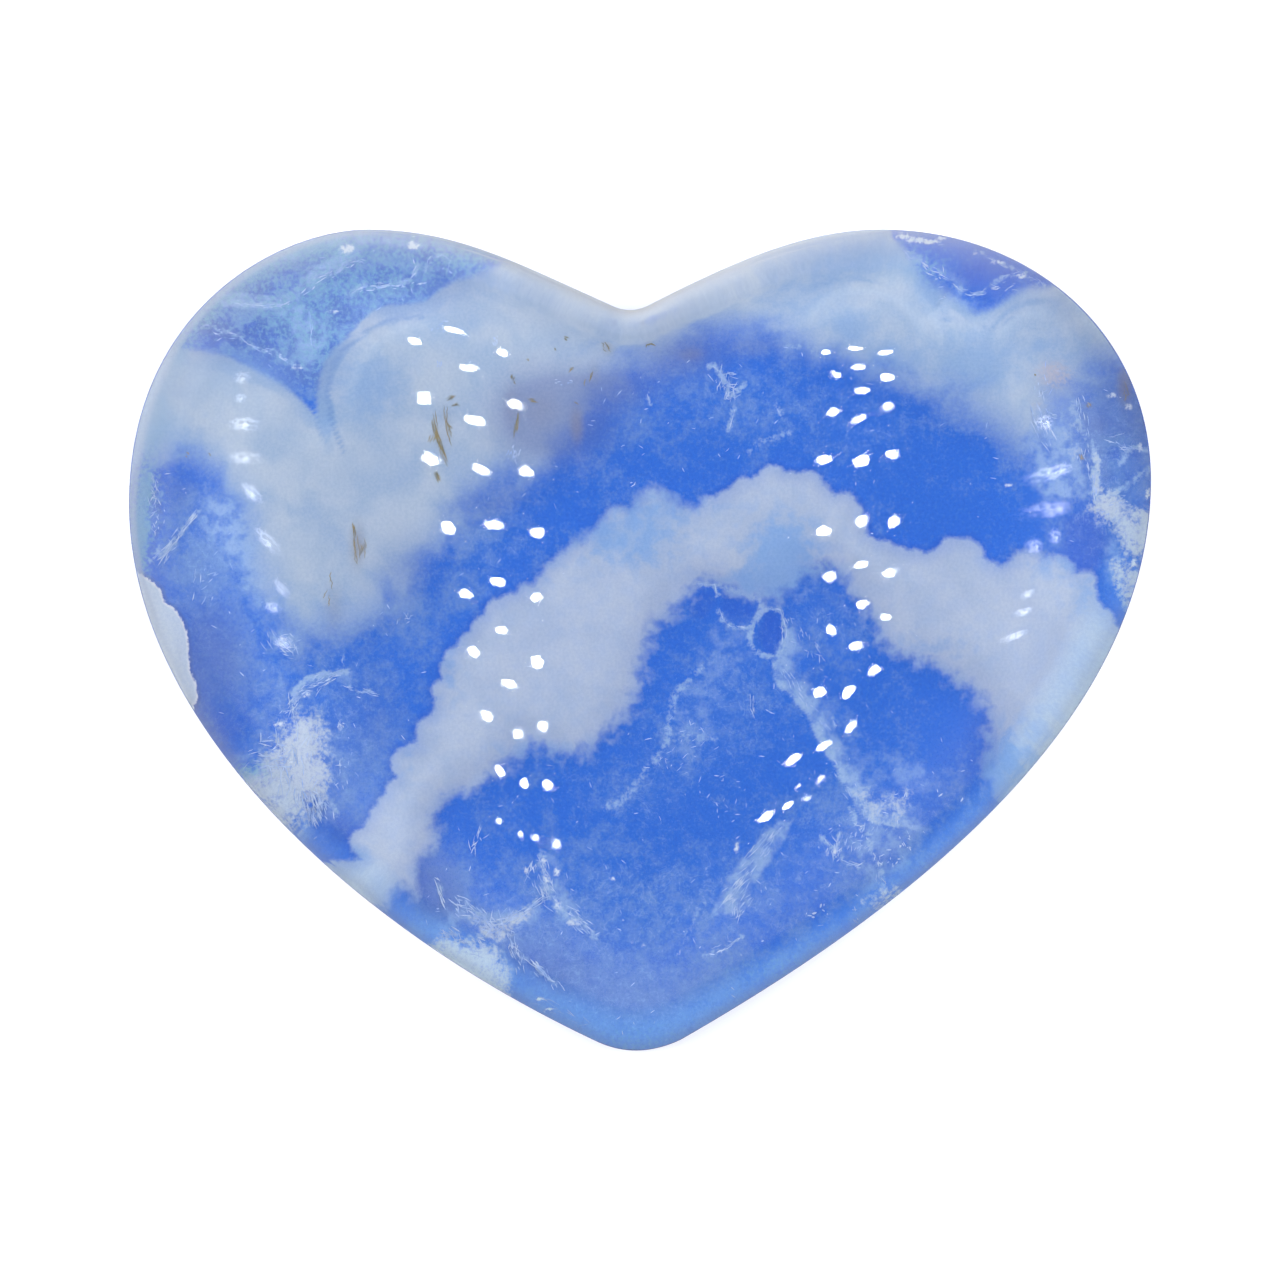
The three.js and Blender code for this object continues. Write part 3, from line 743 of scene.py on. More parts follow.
# Cracks healed with milk: half width, amount and points
VEINS = [
    (0.08, 0.9, [(1.7, 1.65), (2.2, 1.6), (2.25, 1.35), (2.3, 1.3)]),
    (0.09, 0.9, [(2.25, 1.6), (2.7, 1.5), (3.3, 1.3), (3.5, 1.15), (3.6, 0.9), (3.4, 0.6), (3.3, 0.4),
                 (3.2, -0.1), (3.5, -0.4), (3.9, -0.5)]),
    (0.06, 0.6, [(2.3, 0.9), (2.4, 0.6), (2.7, 0.4), (3.2, 0.35)]),
    (0.08, 0.7, [(3.6, 0.9), (4.1, 0.9), (4.28, 0.3), (4.2, -0.3), (3.9, -0.5)]),
    (0.12, 0.6, [(4.1, -0.1), (3.98, -0.5), (3.97, -1.0), (4.1, -1.25), (4.35, -1.5), (4.65, -1.8),
                 (4.95, -2.1), (5.1, -2.4), (5.25, -2.7), (5.35, -2.95), (5.55, -3.3), (5.75, -3.55),
                 (5.9, -3.85), (6.15, -4.3), (6.3, -4.6), (6.5, -4.95), (6.75, -5.2), (7.0, -5.35),
                 (7.3, -5.4), (7.7, -5.5)]),
    (0.06, 0.6, [(5.65, -2.3), (5.75, -2.6)]),
    (0.09, 0.7, [(6.2, -4.9), (6.3, -5.3), (6.7, -5.7), (6.8, -6.2), (7.1, -6.8), (7.2, -7.4)]),
    (0.06, 0.7, [(5.9, -6.4), (6.15, -6.55), (6.4, -6.62), (6.6, -6.55)]),
    (0.05, 0.8, [(5.3, -5.7), (5.5, -5.95), (5.7, -6.15)]),
    (0.05, 0.7, [(5.85, -5.6), (5.8, -5.9), (5.75, -6.2)]),
    (0.15, 0.5, [(1.8, -0.8), (1.0, -1.6), (0.9, -2.3), (0.8, -3.0), (0.3, -3.7), (-0.1, -4.2),
                 (-0.5, -4.7), (-1.0, -4.9)]),
    (0.15, 0.4, [(0.8, -3.0), (1.3, -2.8), (2.2, -2.9)]),
    (0.10, 0.9, [(-10.2, -1.8), (-10.12, -1.45), (-9.9, -1.22), (-9.6, -1.07), (-9.2, -0.97), (-8.9, -0.95),
                 (-8.6, -0.92)]),
    (0.06, 0.7, [(-8.75, -0.7), (-8.72, -0.5)]),
    (0.10, 0.6, [(-9.8, -4.6), (-9.4, -4.7), (-9.1, -4.85), (-8.8, -5.2)]),
    (0.05, 0.6, [(-8.5, -1.4), (-8.2, -1.5), (-7.9, -1.5)]),
    (0.15, 0.6, [(-2.9, -6.3), (-2.8, -7.2), (-2.5, -7.8), (-1.9, -8.2), (-1.3, -8.7)]),
    (0.08, 0.7, [(-5.1, -7.7), (-4.8, -8.0), (-4.5, -8.3), (-4.2, -8.5)]),
    (0.10, 0.7, [(-3.1, -7.7), (-3.5, -8.0), (-3.9, -8.3)]),
    (0.08, 0.7, [(-3.5, -9.3), (-3.1, -9.6), (-2.8, -9.9), (-2.5, -10.1)]),
    (0.06, 0.6, [(-5.9, -7.2), (-5.8, -7.6)]),
    (0.10, 0.8, [(12.8, 7.0), (12.75, 6.7), (12.9, 6.4), (13.1, 6.0), (13.35, 5.6)]),
    (0.15, 1.1, [(13.35, 5.6), (13.45, 5.2), (13.35, 4.7), (13.4, 4.2), (13.8, 3.7), (14.3, 3.4)]),
    (0.10, 0.9, [(14.9, 5.6), (14.6, 5.65), (14.3, 5.5), (14.15, 5.2)]),
    (0.12, 0.9, [(13.6, 4.2), (14.0, 4.3), (14.3, 4.5), (14.6, 4.8), (15.0, 5.0)]),
    (0.10, 0.8, [(14.1, 2.4), (14.2, 1.9), (14.1, 1.4), (14.3, 0.9)]),
    (0.07, 0.6, [(12.4, 6.5), (12.1, 6.6), (12.0, 6.7)]),
    (0.06, 0.8, [(-12.1, 9.95), (-11.4, 9.85), (-10.9, 9.85), (-10.5, 9.83), (-10.3, 9.95)]),
    (0.06, 0.7, [(-9.6, 10.6), (-9.3, 10.72), (-9.0, 10.78), (-8.8, 10.9), (-8.7, 11.1), (-8.35, 11.25)]),
    (0.07, 0.5, [(-13.0, 9.15), (-12.7, 9.25), (-12.4, 9.1), (-12.1, 9.05), (-11.8, 8.95), (-11.6, 8.75),
                 (-11.3, 8.6), (-11.1, 8.5), (-10.8, 8.5), (-10.6, 8.35), (-10.35, 8.2), (-10.1, 8.05)]),
    (0.07, 0.8, [(-8.6, 10.1), (-8.3, 10.3), (-8.0, 10.4), (-7.5, 10.38), (-7.2, 10.48), (-6.8, 10.55),
                 (-6.6, 10.8), (-6.55, 11.0)]),
    (0.06, 0.6, [(-6.3, 10.9), (-6.1, 11.25), (-5.8, 11.35), (-5.55, 11.2), (-5.6, 10.9)]),
    (0.05, 0.5, [(-9.9, 9.9), (-9.7, 9.6), (-9.65, 9.2), (-9.7, 8.8), (-9.6, 8.4)]),
    (0.06, 0.55, [(7.9, 11.3), (8.3, 11.15), (8.7, 10.85), (9.1, 10.6), (9.4, 10.3), (9.7, 10.15),
                  (10.1, 10.2), (10.4, 10.5), (10.7, 10.68), (11.0, 10.72), (11.3, 10.8)]),
    (0.08, 0.45, [(9.9, 11.45), (10.3, 11.2), (10.6, 11.05), (11.0, 10.9), (11.3, 10.7), (11.9, 10.4)]),
    (0.08, 1.0, [(2.0, 8.05), (2.2, 8.05), (2.4, 7.75), (2.6, 7.5), (2.55, 7.15), (2.8, 7.25), (3.1, 7.5)]),
    (0.06, 0.8, [(2.75, 6.8), (2.6, 6.2)]),
    (0.05, 0.8, [(0.2, 7.2), (0.3, 6.9)]),
    (0.05, 0.7, [(4.0, 6.9), (4.15, 6.6)]),
    (0.10, 0.4, [(4.2, 8.6), (4.8, 8.65), (5.4, 8.3)]),
    (0.12, 0.5, [(3.2, 5.5), (3.5, 5.8), (3.9, 5.95), (4.4, 6.1)]),
    (0.07, 0.7, [(-14.15, 2.4), (-13.7, 2.85), (-13.3, 3.4), (-13.0, 3.8)]),
    (0.06, 0.6, [(-14.4, 2.3), (-14.1, 2.7)]),
    (0.08, 0.7, [(1.9, -9.3), (2.4, -9.1), (2.7, -8.95), (3.0, -8.7)]),
    (0.10, 0.5, [(1.3, -8.9), (1.5, -8.4), (1.7, -7.9), (1.9, -7.7)]),
]
# Windows in the crust, down to the deep blue: softness of the edge, amount and outline
WINDOWS = [
    (0.10, 1.0, [(3.65, 0.85), (4.1, 0.85), (4.22, 0.3), (4.15, -0.25), (3.9, -0.45), (3.65, -0.3),
                 (3.45, 0.05), (3.55, 0.5)]),
    (0.10, 0.6, [(1.75, 1.5), (2.15, 1.45), (2.2, 1.1), (1.9, 0.6), (1.5, 0.7), (1.45, 1.1)]),
    (0.10, 0.7, [(2.35, 1.4), (3.3, 1.1), (3.45, 0.85), (3.1, 0.5), (2.6, 0.6), (2.4, 0.9)]),
    (0.3, 0.8, [(-12.6, -2.2), (-12.0, -2.0), (-11.5, -2.3), (-11.6, -2.8), (-12.4, -3.0)]),
    (0.15, 0.9, [(12.5, 3.6), (13.2, 3.75), (13.6, 3.3), (14.0, 3.0), (13.6, 2.2), (13.2, 1.9), (12.8, 2.1),
                 (12.4, 2.6)]),
    (0.1, 0.9, [(13.9, 2.4), (14.15, 2.5), (14.2, 2.1), (14.0, 2.05)]),
    (0.12, 0.9, [(13.65, 1.6), (13.9, 1.5), (14.2, 0.9), (14.1, 0.6), (13.8, 0.9)]),
    (0.2, 0.8, [(13.8, 5.6), (14.3, 5.9), (14.7, 5.4), (14.5, 4.7), (13.9, 4.7)]),
    (0.08, 0.6, [(-10.9, 10.6), (-10.4, 10.9), (-10.0, 10.8), (-9.9, 10.4), (-10.1, 10.0), (-10.8, 10.1)]),
    (0.08, 0.45, [(-12.4, 9.8), (-11.4, 9.65), (-11.2, 9.2), (-10.35, 8.9), (-10.25, 8.55), (-10.9, 8.6),
                  (-11.5, 8.85), (-11.8, 9.15), (-12.5, 9.45)]),
    (0.08, 0.5, [(-13.2, 9.0), (-12.2, 8.95), (-12.0, 8.6), (-13.0, 8.55)]),
    (0.12, 0.3, [(-11.6, 8.5), (-10.9, 8.4), (-10.1, 7.8), (-9.9, 7.2), (-10.3, 7.5), (-11.0, 8.0)]),
    (0.10, 0.3, [(-10.2, 10.1), (-9.4, 10.1), (-9.3, 9.4), (-9.8, 9.3)]),
    (0.15, 0.25, [(-9.4, 10.6), (-8.6, 11.0), (-7.6, 11.2), (-6.6, 11.2), (-6.8, 10.5), (-8.2, 10.2),
                  (-9.2, 10.0)]),
    (0.25, 1.0, [(9.2, 10.7), (9.6, 11.3), (10.3, 11.2), (11.0, 10.9), (10.9, 10.6), (10.2, 10.5),
                 (9.7, 10.3)]),
    (0.20, 0.6, [(9.9, 10.1), (10.5, 10.5), (11.1, 10.6), (10.4, 9.9), (10.0, 9.7)]),
    (0.15, 0.3, [(7.8, 11.2), (8.3, 10.9), (9.0, 10.4), (9.0, 10.3), (8.3, 10.7), (7.8, 11.0)]),
    (0.2, 0.6, [(-7.5, -7.6), (-7.0, -7.4), (-6.7, -7.8), (-6.8, -8.4), (-7.3, -8.1)]),
    (0.3, 0.5, [(-9.4, -5.0), (-8.8, -5.4), (-8.6, -6.2), (-9.4, -6.4), (-9.8, -5.8)]),
]
# Where rust has warmed the milk to grey, or to a blush, and where the clear part is greener
WARM = [
    (-5.8, 6.2, 0.4, 1.0, 0.4), (-3.8, 7.0, 0.3, 0.8, 0.35), (-8.3, 2.8, 0.3, 0.8, 0.7),
    (-9.0, 1.2, 0.3, 0.9, 0.25), (-1.85, 6.3, 0.22, 0.6, 0.8), (-0.9, 8.7, 0.25, 0.35, 0.6),
    (14.25, 7.5, 0.25, 0.7, 0.8), (0.15, 9.0, 0.2, 0.35, 0.4), (-2.9, 6.8, 0.8, 0.9, 0.45),
    (-1.35, 7.9, 0.25, 0.5, 0.4), (13.4, 6.3, 0.6, 0.6, 0.3), (-9.0, 0.8, 0.6, 0.8, 0.25),
    (1.5, 8.4, 0.5, 0.3, 0.5), (13.2, 6.9, 0.1, 0.1, 0.7), (13.0, 5.35, 0.1, 0.15, 0.7),
    (-3.3, 8.3, 0.6, 0.5, 0.2),
]
BLUSH = [(12.2, 7.85, 0.55, 0.4, 1.0), (11.7, 6.9, 0.3, 0.2, 0.4), (12.4, 4.0, 0.8, 0.3, 0.25)]
AQUA = [
    (-14.5, 4.4, 0.2, 0.5, 1.0), (-14.6, 3.2, 0.25, 0.5, 0.7), (-5.0, 11.15, 0.8, 0.3, 0.7),
    (-12.9, 9.7, 0.7, 0.5, 0.4), (-13.6, 8.6, 0.3, 0.5, 0.5), (-11.5, 10.8, 0.9, 0.4, 0.4),
    (-9.4, 11.5, 1.4, 0.3, 0.5), (-10.4, 9.4, 1.4, 1.2, 0.5), (-8, 10.6, 2.4, 0.9, 0.5),
    (-9.2, 8.4, 0.6, 1.4, 0.35), (-7, 11.4, 1.6, 0.3, 0.4), (-14.4, 6.4, 0.3, 1.4, 0.5),
    (-14.7, 3.2, 0.25, 1.4, 0.5), (0, -12, 2.5, 0.6, 0.3), (5, -9.6, 3, 0.4, 0.2),
    (13.2, 9.4, 1.2, 0.8, 0.3), (8.2, 11.0, 0.8, 0.5, 0.4), (-11.5, -3.9, 0.5, 0.3, 0.8),
    (-13.9, 6.4, 0.7, 0.8, 0.5), (6.5, 10.8, 1.8, 0.6, 0.3), (5.6, 2.3, 1.2, 0.4, 0.3),
]

KNOB_RADII = (0.28, 0.50)
KNOB_STANDS_OUT = (0.02, 0.13)
BAND_SOFTENS = (-0.3, 0.3)  # how much nearer the lower edge is than the upper where this starts and is full
HAZE_SOFTENS = (-0.6, 0.8)
HAZE_CRISP = 0.10  # half the width of the haze's crisp edge, and what a soft one adds outside and inside
HAZE_SPREAD = (1.0, 1.4)
PLAIN_TONE, PLAIN_SMOKE = 0.15, 0.1  # away from the ovals
LOWER_RIGHT = (0.35, 2, -6)  # a line's slope, and the heights over it between which that side begins
UPPER_LEFT = (1, 8, 15)
TOP_LEFT = (0.6, 5, 11)
# Painted light on the lower right rim, a painted reflection of the white round the stone on the upper left
# rim, and the greener upper left rim
PAINTED_LIGHT_REACH, PAINTED_GLARE_REACH, RIM_GREENS = (0.90, 0.98), (0.984, 0.993), (0.955, 0.99)  # shares of the way out
RIM_AQUA = 0.5
BAND_FLANK, BAND_BACK = 0.55, 0.5  # heights in millimetres, before the dome presses them down
LENS_HEIGHT, HAZE_HEIGHT, MOSS_HEIGHT = 0.5, 0.5, 0.3
FLANK_RISES, BACK_RISES = (-0.04, 0.35), (-0.2, 1.2)  # how far inside an edge those heights begin and end
LENS_RISES, HAZE_RISEN = (-0.04, 0.5), 1.0
FLANK_SPREAD = 0.9
CRUST_EDGE = math.radians(60)

growth, ring, angle = pressed_square("plume_growth", GROWTH_CELLS)
growth_x, growth_y = contour(angle, ring * GROWTH_REACH)
x, y = seen_at(growth_x, growth_y)

# Knobs along the band's upper edge, as round as a cauliflower's
dice = np.random.default_rng(12)
band = inside(BAND_TOP + BAND_BOTTOM, x, y)
for (x0, y0), (x1, y1) in zip(BAND_TOP[1:-1], BAND_TOP[2:-1]):
    length = math.hypot(x1 - x0, y1 - y0)
    knob_radius = dice.uniform(*KNOB_RADII)
    sink = knob_radius - dice.uniform(*KNOB_STANDS_OUT)
    knob_x = x0 + (y1 - y0) / length * sink
    knob_y = y0 - (x1 - x0) / length * sink
    band = np.maximum(band, knob_radius - np.hypot(x - knob_x, y - knob_y))
lens = inside(RIM_LENS, x, y)
haze = inside(HAZE_TOP + HAZE_BOTTOM, x, y)

# How soft each edge is: crisp above the band, melting below it and under the haze
band_soft = rise(beside(BAND_TOP, x, y) - beside(BAND_BOTTOM, x, y), *BAND_SOFTENS)
haze_soft = rise(beside(HAZE_TOP, x, y) - beside(HAZE_BOTTOM, x, y), *HAZE_SOFTENS)
band_soft = np.clip(band_soft + patches(x, y, 0, BAND_MELT), 0, 1)
haze_soft = np.clip(haze_soft + patches(x, y, 0, HAZE_MELT), 0, 1)

# Every marking is kept on the crust's points as a field of its own, three to a vector. Low at the rim the
# dome
# bends the sight: there the lower right is painted paler, which is painted light, and the upper left is
# painted greener, and whiter with a painted reflection of the white round the stone.
rim_reach = reach_at(*dome_seen(x, y))
haze_fades = (-HAZE_CRISP - HAZE_SPREAD[0] * haze_soft, HAZE_CRISP + HAZE_SPREAD[1] * haze_soft)
fields = {
    "band": band,
    "band_soft": band_soft,
    "band_blue": patches(x, y, 0, BAND_BLUE),
    "lens": lens,
    "haze": haze,
    "haze_soft": haze_soft,
    "haze_blue": patches(x, y, 0, HAZE_BLUE),
    "haze_rings": rings(x, y, HAZE_RINGS),
    "selvage": patches(x, y, 0, SELVAGE),
    "haze_cover": rise(haze, *haze_fades),
    "tone": patches(x, y, PLAIN_TONE, BLUE_TONE),
    "lilac": patches(x, y, 0, LILAC),
    "moss": panes(x, y, MOSS),
    "wash": np.maximum(panes(x, y, WASHES), veils(x, y, VEILS)),
    "specks": patches(x, y, 0, SPECKS),
    "haze_seams": lines(x, y, HAZE_SEAMS),
    "rim": rise(rim_reach, *PAINTED_LIGHT_REACH) * side(x, y, *LOWER_RIGHT),
    "polish": rise(rim_reach, *PAINTED_GLARE_REACH) * side(x, y, *TOP_LEFT),
    "crackle": patches(x, y, 0, CRACKLE),
    "smoke": patches(x, y, PLAIN_SMOKE, SMOKE),
    "vein": lines(x, y, VEINS),
    "window": panes(x, y, WINDOWS),
    "warm": patches(x, y, 0, WARM),
    "blush": patches(x, y, 0, BLUSH),
    "aqua": patches(x, y, 0, AQUA) + RIM_AQUA * rise(rim_reach, *RIM_GREENS) * side(x, y, *UPPER_LEFT),
}
zeros = np.zeros_like(x)
trios = [list(fields)[first:first + 3] for first in range(0, len(fields), 3)]
layers = {"_".join(trio): [fields[name] for name in trio] for trio in trios}
layers["seen"] = [x, y]
for name, columns in layers.items():
    layer = growth.data.attributes.new(name, "FLOAT_VECTOR", "POINT")
    columns = np.column_stack((*columns, zeros, zeros))[:, :3]
    layer.data.foreach_set("vector", columns.astype(np.float32).ravel())

# Its heights: the band stands highest, and everything stays well under the dome
flank_spread = FLANK_SPREAD * band_soft
wish = (BAND_FLANK * rise(band, FLANK_RISES[0] - flank_spread, FLANK_RISES[1] + flank_spread)
        + BAND_BACK * rise(band, *BACK_RISES)
        + LENS_HEIGHT * rise(lens, *LENS_RISES)
        + HAZE_HEIGHT * rise(haze, -haze_soft, HAZE_RISEN)
        + MOSS_HEIGHT * np.clip(fields["moss"], 0, 1))
for _ in range(SOFTENING):
    net = np.pad(wish.reshape(GROWTH_CELLS + 1, -1), 1, mode="edge")
    beside_it = net[:-2, 1:-1] + net[2:, 1:-1] + net[1:-1, :-2] + net[1:-1, 2:]
    wish = ((beside_it + 2 * net[1:-1, 1:-1]) / 6).ravel()
headroom = (dome_over(growth_x, growth_y) - GROWTH_BASE) / MM - FILM
height = FILM + wish * headroom / (wish + headroom)
set_places(growth, np.column_stack((growth_x, growth_y, GROWTH_BASE + height * MM)))

bpy.ops.object.mode_set(mode="EDIT")
bpy.ops.mesh.select_all(action="SELECT")
bpy.ops.mesh.region_to_loop()
bpy.ops.mesh.extrude_region_move(TRANSFORM_OT_translate={"value": (0, 0, 0)})
bpy.ops.transform.resize(value=(1, 1, 0), center_override=(0, 0, GROWTH_BASE))
bpy.ops.mesh.edge_face_add()
bpy.ops.mesh.select_all(action="SELECT")
bpy.ops.mesh.normals_make_consistent(inside=False)
bpy.ops.object.mode_set(mode="OBJECT")
bpy.ops.object.shade_smooth_by_angle(angle=CRUST_EDGE)

DEEP_BLUE, LAVENDER = srgb(48, 110, 214), srgb(106, 145, 210)
LILAC_BLUE = srgb(86, 116, 192)
WINDOW_BLUE = srgb(48, 98, 206)
SMOKE_BLUE = srgb(114, 152, 218)
WASH_BLUE = srgb(152, 182, 226)
THREAD_BLUE = srgb(150, 184, 230)
PALE_SCALE, DARK_SCALE, SCALE_GRAIN = srgb(134, 172, 212), srgb(80, 112, 188), srgb(150, 188, 214)
VEIN_MILK = srgb(166, 194, 228)
# The painted light of the lower right rim
PAINTED_RIM_BLUE = srgb(92, 158, 230)
MOSS_WHITE = srgb(200, 211, 226)
AQUA_GREEN = srgb(122, 176, 206)
PALE_SPECKLE, DARK_SPECKLE = srgb(170, 198, 234), srgb(58, 92, 188)
SPECK_WHITE = srgb(216, 226, 240)
HAZE_GREYS = srgb(164, 184, 210), srgb(182, 196, 214)
HAZE_BLUER = srgb(132, 166, 210)
DARK_RING, PALE_RING = srgb(120, 156, 204), srgb(186, 204, 222)
THIN_HAZE = srgb(126, 162, 216)
SELVAGE_BLUE = srgb(128, 162, 206)
SEAM_BLUE = srgb(106, 144, 200)
HAZE_LILAC = srgb(126, 143, 186)
HAZE_AQUA = srgb(128, 172, 210)
RUST_GREY, RUST_BLUSH = srgb(142, 142, 158), srgb(184, 180, 194)
BAND_SHADE = srgb(44, 92, 200)
BAND_MILKS = srgb(176, 191, 216), srgb(188, 200, 220)
BAND_MOTTLE = srgb(168, 189, 222)
THIN_BAND = srgb(148, 174, 220)
BAND_BLUER = srgb(126, 168, 222)
LENS_SHADE = srgb(70, 96, 168)
LENS_WHITES = srgb(210, 222, 236), srgb(232, 236, 244)
# The painted reflection on the upper left rim
PAINTED_RIM_GLARE = srgb(180, 194, 218)
DUST = [(0.93, 1.06), (0.95, 1.045), (0.97, 1.02)]  # how much the finest grain changes red, green and blue
CRUST_ROUGHNESS = 0.7

tree, shader = start_material(growth, "milky_plumes")
mask = {}
for trio in trios:
    layer = node(tree, "ShaderNodeAttribute", attribute_name="_".join(trio)).outputs["Vector"]
    mask.update(zip(trio, node(tree, "ShaderNodeSeparateXYZ", {0: layer}).outputs))
in_mm = node(tree, "ShaderNodeAttribute", attribute_name="seen").outputs["Vector"]
broad = grain(tree, in_mm, 0.7, 2, 0.5, 0.3)
middling = grain(tree, in_mm, 2.4, 2, 0.5)
fine = grain(tree, in_mm, 8.0, 2, 0.6)
scales = grain(tree, in_mm, 1.5, 3, 0.65, 0.3)


def plus(first, second):
    return maths(tree, "ADD", first, second)


def times(first, second):
    return maths(tree, "MULTIPLY", first, second)


def swing(noise, amount):
    """The noise, stretched to go that much up and down about zero."""
    return ramp(tree, noise, 0.3, 0.7, -amount, amount)


def on_line(noise, width):
    """1 where the noise passes its middle value, which is a net of thin lines."""
    return ramp(tree, maths(tree, "ABSOLUTE", maths(tree, "SUBTRACT", noise, 0.5)), width, 0.0)


def stain(colour, value, start, end, most, stained):
    """The colour, stained up to that share while the value goes from start to end."""
    return over(tree, ramp(tree, value, start, end, 0, most), colour, stained)


# The clear part: blue from deep to lavender, with washes, smoke, scales, cracks, moss and specks in it
tone = plus(plus(plus(mask["tone"], swing(broad, 0.16)), swing(middling, 0.14)), swing(fine, 0.08))
colour = stain(DEEP_BLUE, tone, 0, 1, 1, LAVENDER)
colour = stain(colour, mask["lilac"], 0, 1.2, 0.75, LILAC_BLUE)
colour = over(tree, times(mask["window"], 0.75), colour, WINDOW_BLUE)
patchy = plus(1.0, plus(swing(middling, 0.35), swing(fine, 0.08)))
colour = stain(colour, times(mask["smoke"], patchy), 0.1, 1.2, 0.5, SMOKE_BLUE)
colour = stain(colour, times(mask["wash"], patchy), 0.05, 1.25, 0.9, WASH_BLUE)
threads = times(on_line(scales, 0.03), plus(mask["smoke"], swing(middling, 0.2)))
colour = stain(colour, threads, 0.1, 0.8, 0.3, THREAD_BLUE)
cracked = ramp(tree, mask["crackle"], 0.25, 0.9)
colour = over(tree, times(cracked, ramp(tree, scales, 0.50, 0.60, 0, 0.55)), colour, PALE_SCALE)
colour = over(tree, times(cracked, ramp(tree, scales, 0.47, 0.36, 0, 0.45)), colour, DARK_SCALE)
colour = over(tree, times(cracked, ramp(tree, fine, 0.54, 0.66, 0, 0.2)), colour, SCALE_GRAIN)
unevenness = plus(swing(fine, 0.22), swing(middling, 0.20))
veining = plus(mask["vein"], times(ramp(tree, mask["vein"], 0.0, 0.4), unevenness))
colour = stain(colour, veining, 0.15, 1.0, 0.8, VEIN_MILK)
# Painted light: the lower right rim, where the crust gets less light, is painted a lighter blue
colour = over(tree, times(mask["rim"], 0.4), colour, PAINTED_RIM_BLUE)
moss = plus(mask["moss"], times(ramp(tree, mask["moss"], 0.0, 0.3), unevenness))
colour = stain(colour, moss, 0.15, 1.1, 0.95, MOSS_WHITE)
colour = stain(colour, plus(mask["aqua"], swing(fine, 0.3)), 0.1, 1.1, 0.75, AQUA_GREEN)
speckle = grain(tree, in_mm, 11.0, 3, 0.75)
flecked = times(ramp(tree, speckle, 0.60, 0.74), times(mask["smoke"], 0.3))
colour = over(tree, flecked, colour, PALE_SPECKLE)
colour = stain(colour, speckle, 0.44, 0.30, 0.15, DARK_SPECKLE)
specks = plus(mask["specks"], times(mask["specks"], swing(fine, 0.5)))
colour = stain(colour, specks, 0.15, 0.9, 1, SPECK_WHITE)

# The haze: pale blue-grey, with a bluer selvage along its crisp edges and growth lines inside it
haze_colour = over(tree, ramp(tree, broad, 0.3, 0.7), *HAZE_GREYS)
haze_colour = stain(haze_colour, plus(mask["haze_blue"], swing(middling, 0.12)), 0, 1, 0.8, HAZE_BLUER)
haze_colour = stain(haze_colour, mask["haze_rings"], 0, -0.8, 0.7, DARK_RING)
haze_colour = stain(haze_colour, mask["haze_rings"], 0, 0.8, 0.7, PALE_RING)
thin = times(ramp(tree, mask["haze"], 1.5, -0.3), mask["haze_soft"])
haze_colour = over(tree, times(thin, 0.65), haze_colour, THIN_HAZE)
edge_depth = plus(mask["haze"], swing(broad, 0.10))
selvage = times(ramp(tree, edge_depth, 0.50, 0.34), ramp(tree, mask["selvage"], 0.0, 0.8))
haze_colour = over(tree, times(selvage, 0.75), haze_colour, SELVAGE_BLUE)
seams = plus(mask["haze_seams"], times(mask["haze_seams"], swing(middling, 0.2)))
haze_colour = stain(haze_colour, seams, 0.1, 1.0, 0.6, SEAM_BLUE)
haze_colour = stain(haze_colour, mask["lilac"], 0, 1.3, 0.8, HAZE_LILAC)
haze_colour = stain(haze_colour, mask["aqua"], 0.1, 1.0, 0.6, HAZE_AQUA)
haze_cover = plus(plus(mask["haze_cover"], times(mask["haze_soft"], swing(broad, 0.16))), swing(fine, 0.03))
colour = over(tree, ramp(tree, haze_cover, 0.06, 0.94), colour, haze_colour)
colour = stain(colour, mask["warm"], 0.1, 0.9, 0.6, RUST_GREY)
blushing = plus(mask["blush"], times(mask["blush"], swing(fine, 0.4)))
colour = stain(colour, blushing, 0.1, 1.0, 0.7, RUST_BLUSH)

# The band: thick milk, thinner and bluer where it is thin, crisp above and melting below
shade_line = times(ramp(tree, mask["band"], -0.28, -0.02, 0, 0.35), ramp(tree, mask["band_soft"], 0.5, 0.0))
colour = over(tree, shade_line, colour, BAND_SHADE)
frayed = plus(mask["band"], swing(fine, 0.02))
frayed = plus(frayed, times(mask["band_soft"], swing(middling, 0.16)))
edge = plus(times(mask["band_soft"], 0.30), 0.09)
band_sockets = {"Value": frayed, "From Min": times(edge, -1.0), "From Max": edge}
band_cover = node(tree, "ShaderNodeMapRange", band_sockets, interpolation_type="SMOOTHSTEP").outputs[0]
band_colour = over(tree, ramp(tree, broad, 0.3, 0.7), *BAND_MILKS)
band_colour = stain(band_colour, middling, 0.3, 0.7, 0.25, BAND_MOTTLE)
band_colour = stain(band_colour, mask["band"], 0.45, 0.0, 0.45, THIN_BAND)
band_colour = stain(band_colour, plus(mask["band_blue"], swing(middling, 0.2)), 0.1, 1.1, 0.8, BAND_BLUER)
colour = over(tree, band_cover, colour, band_colour)

# The lens at the left rim: chalk white, with a shadow line outside it
colour = stain(colour, mask["lens"], -0.16, -0.02, 0.5, LENS_SHADE)
lens_cover = ramp(tree, plus(mask["lens"], swing(fine, 0.025)), -0.03, 0.04)
colour = over(tree, lens_cover, colour, over(tree, ramp(tree, mask["lens"], 0.12, 0.02), *LENS_WHITES))
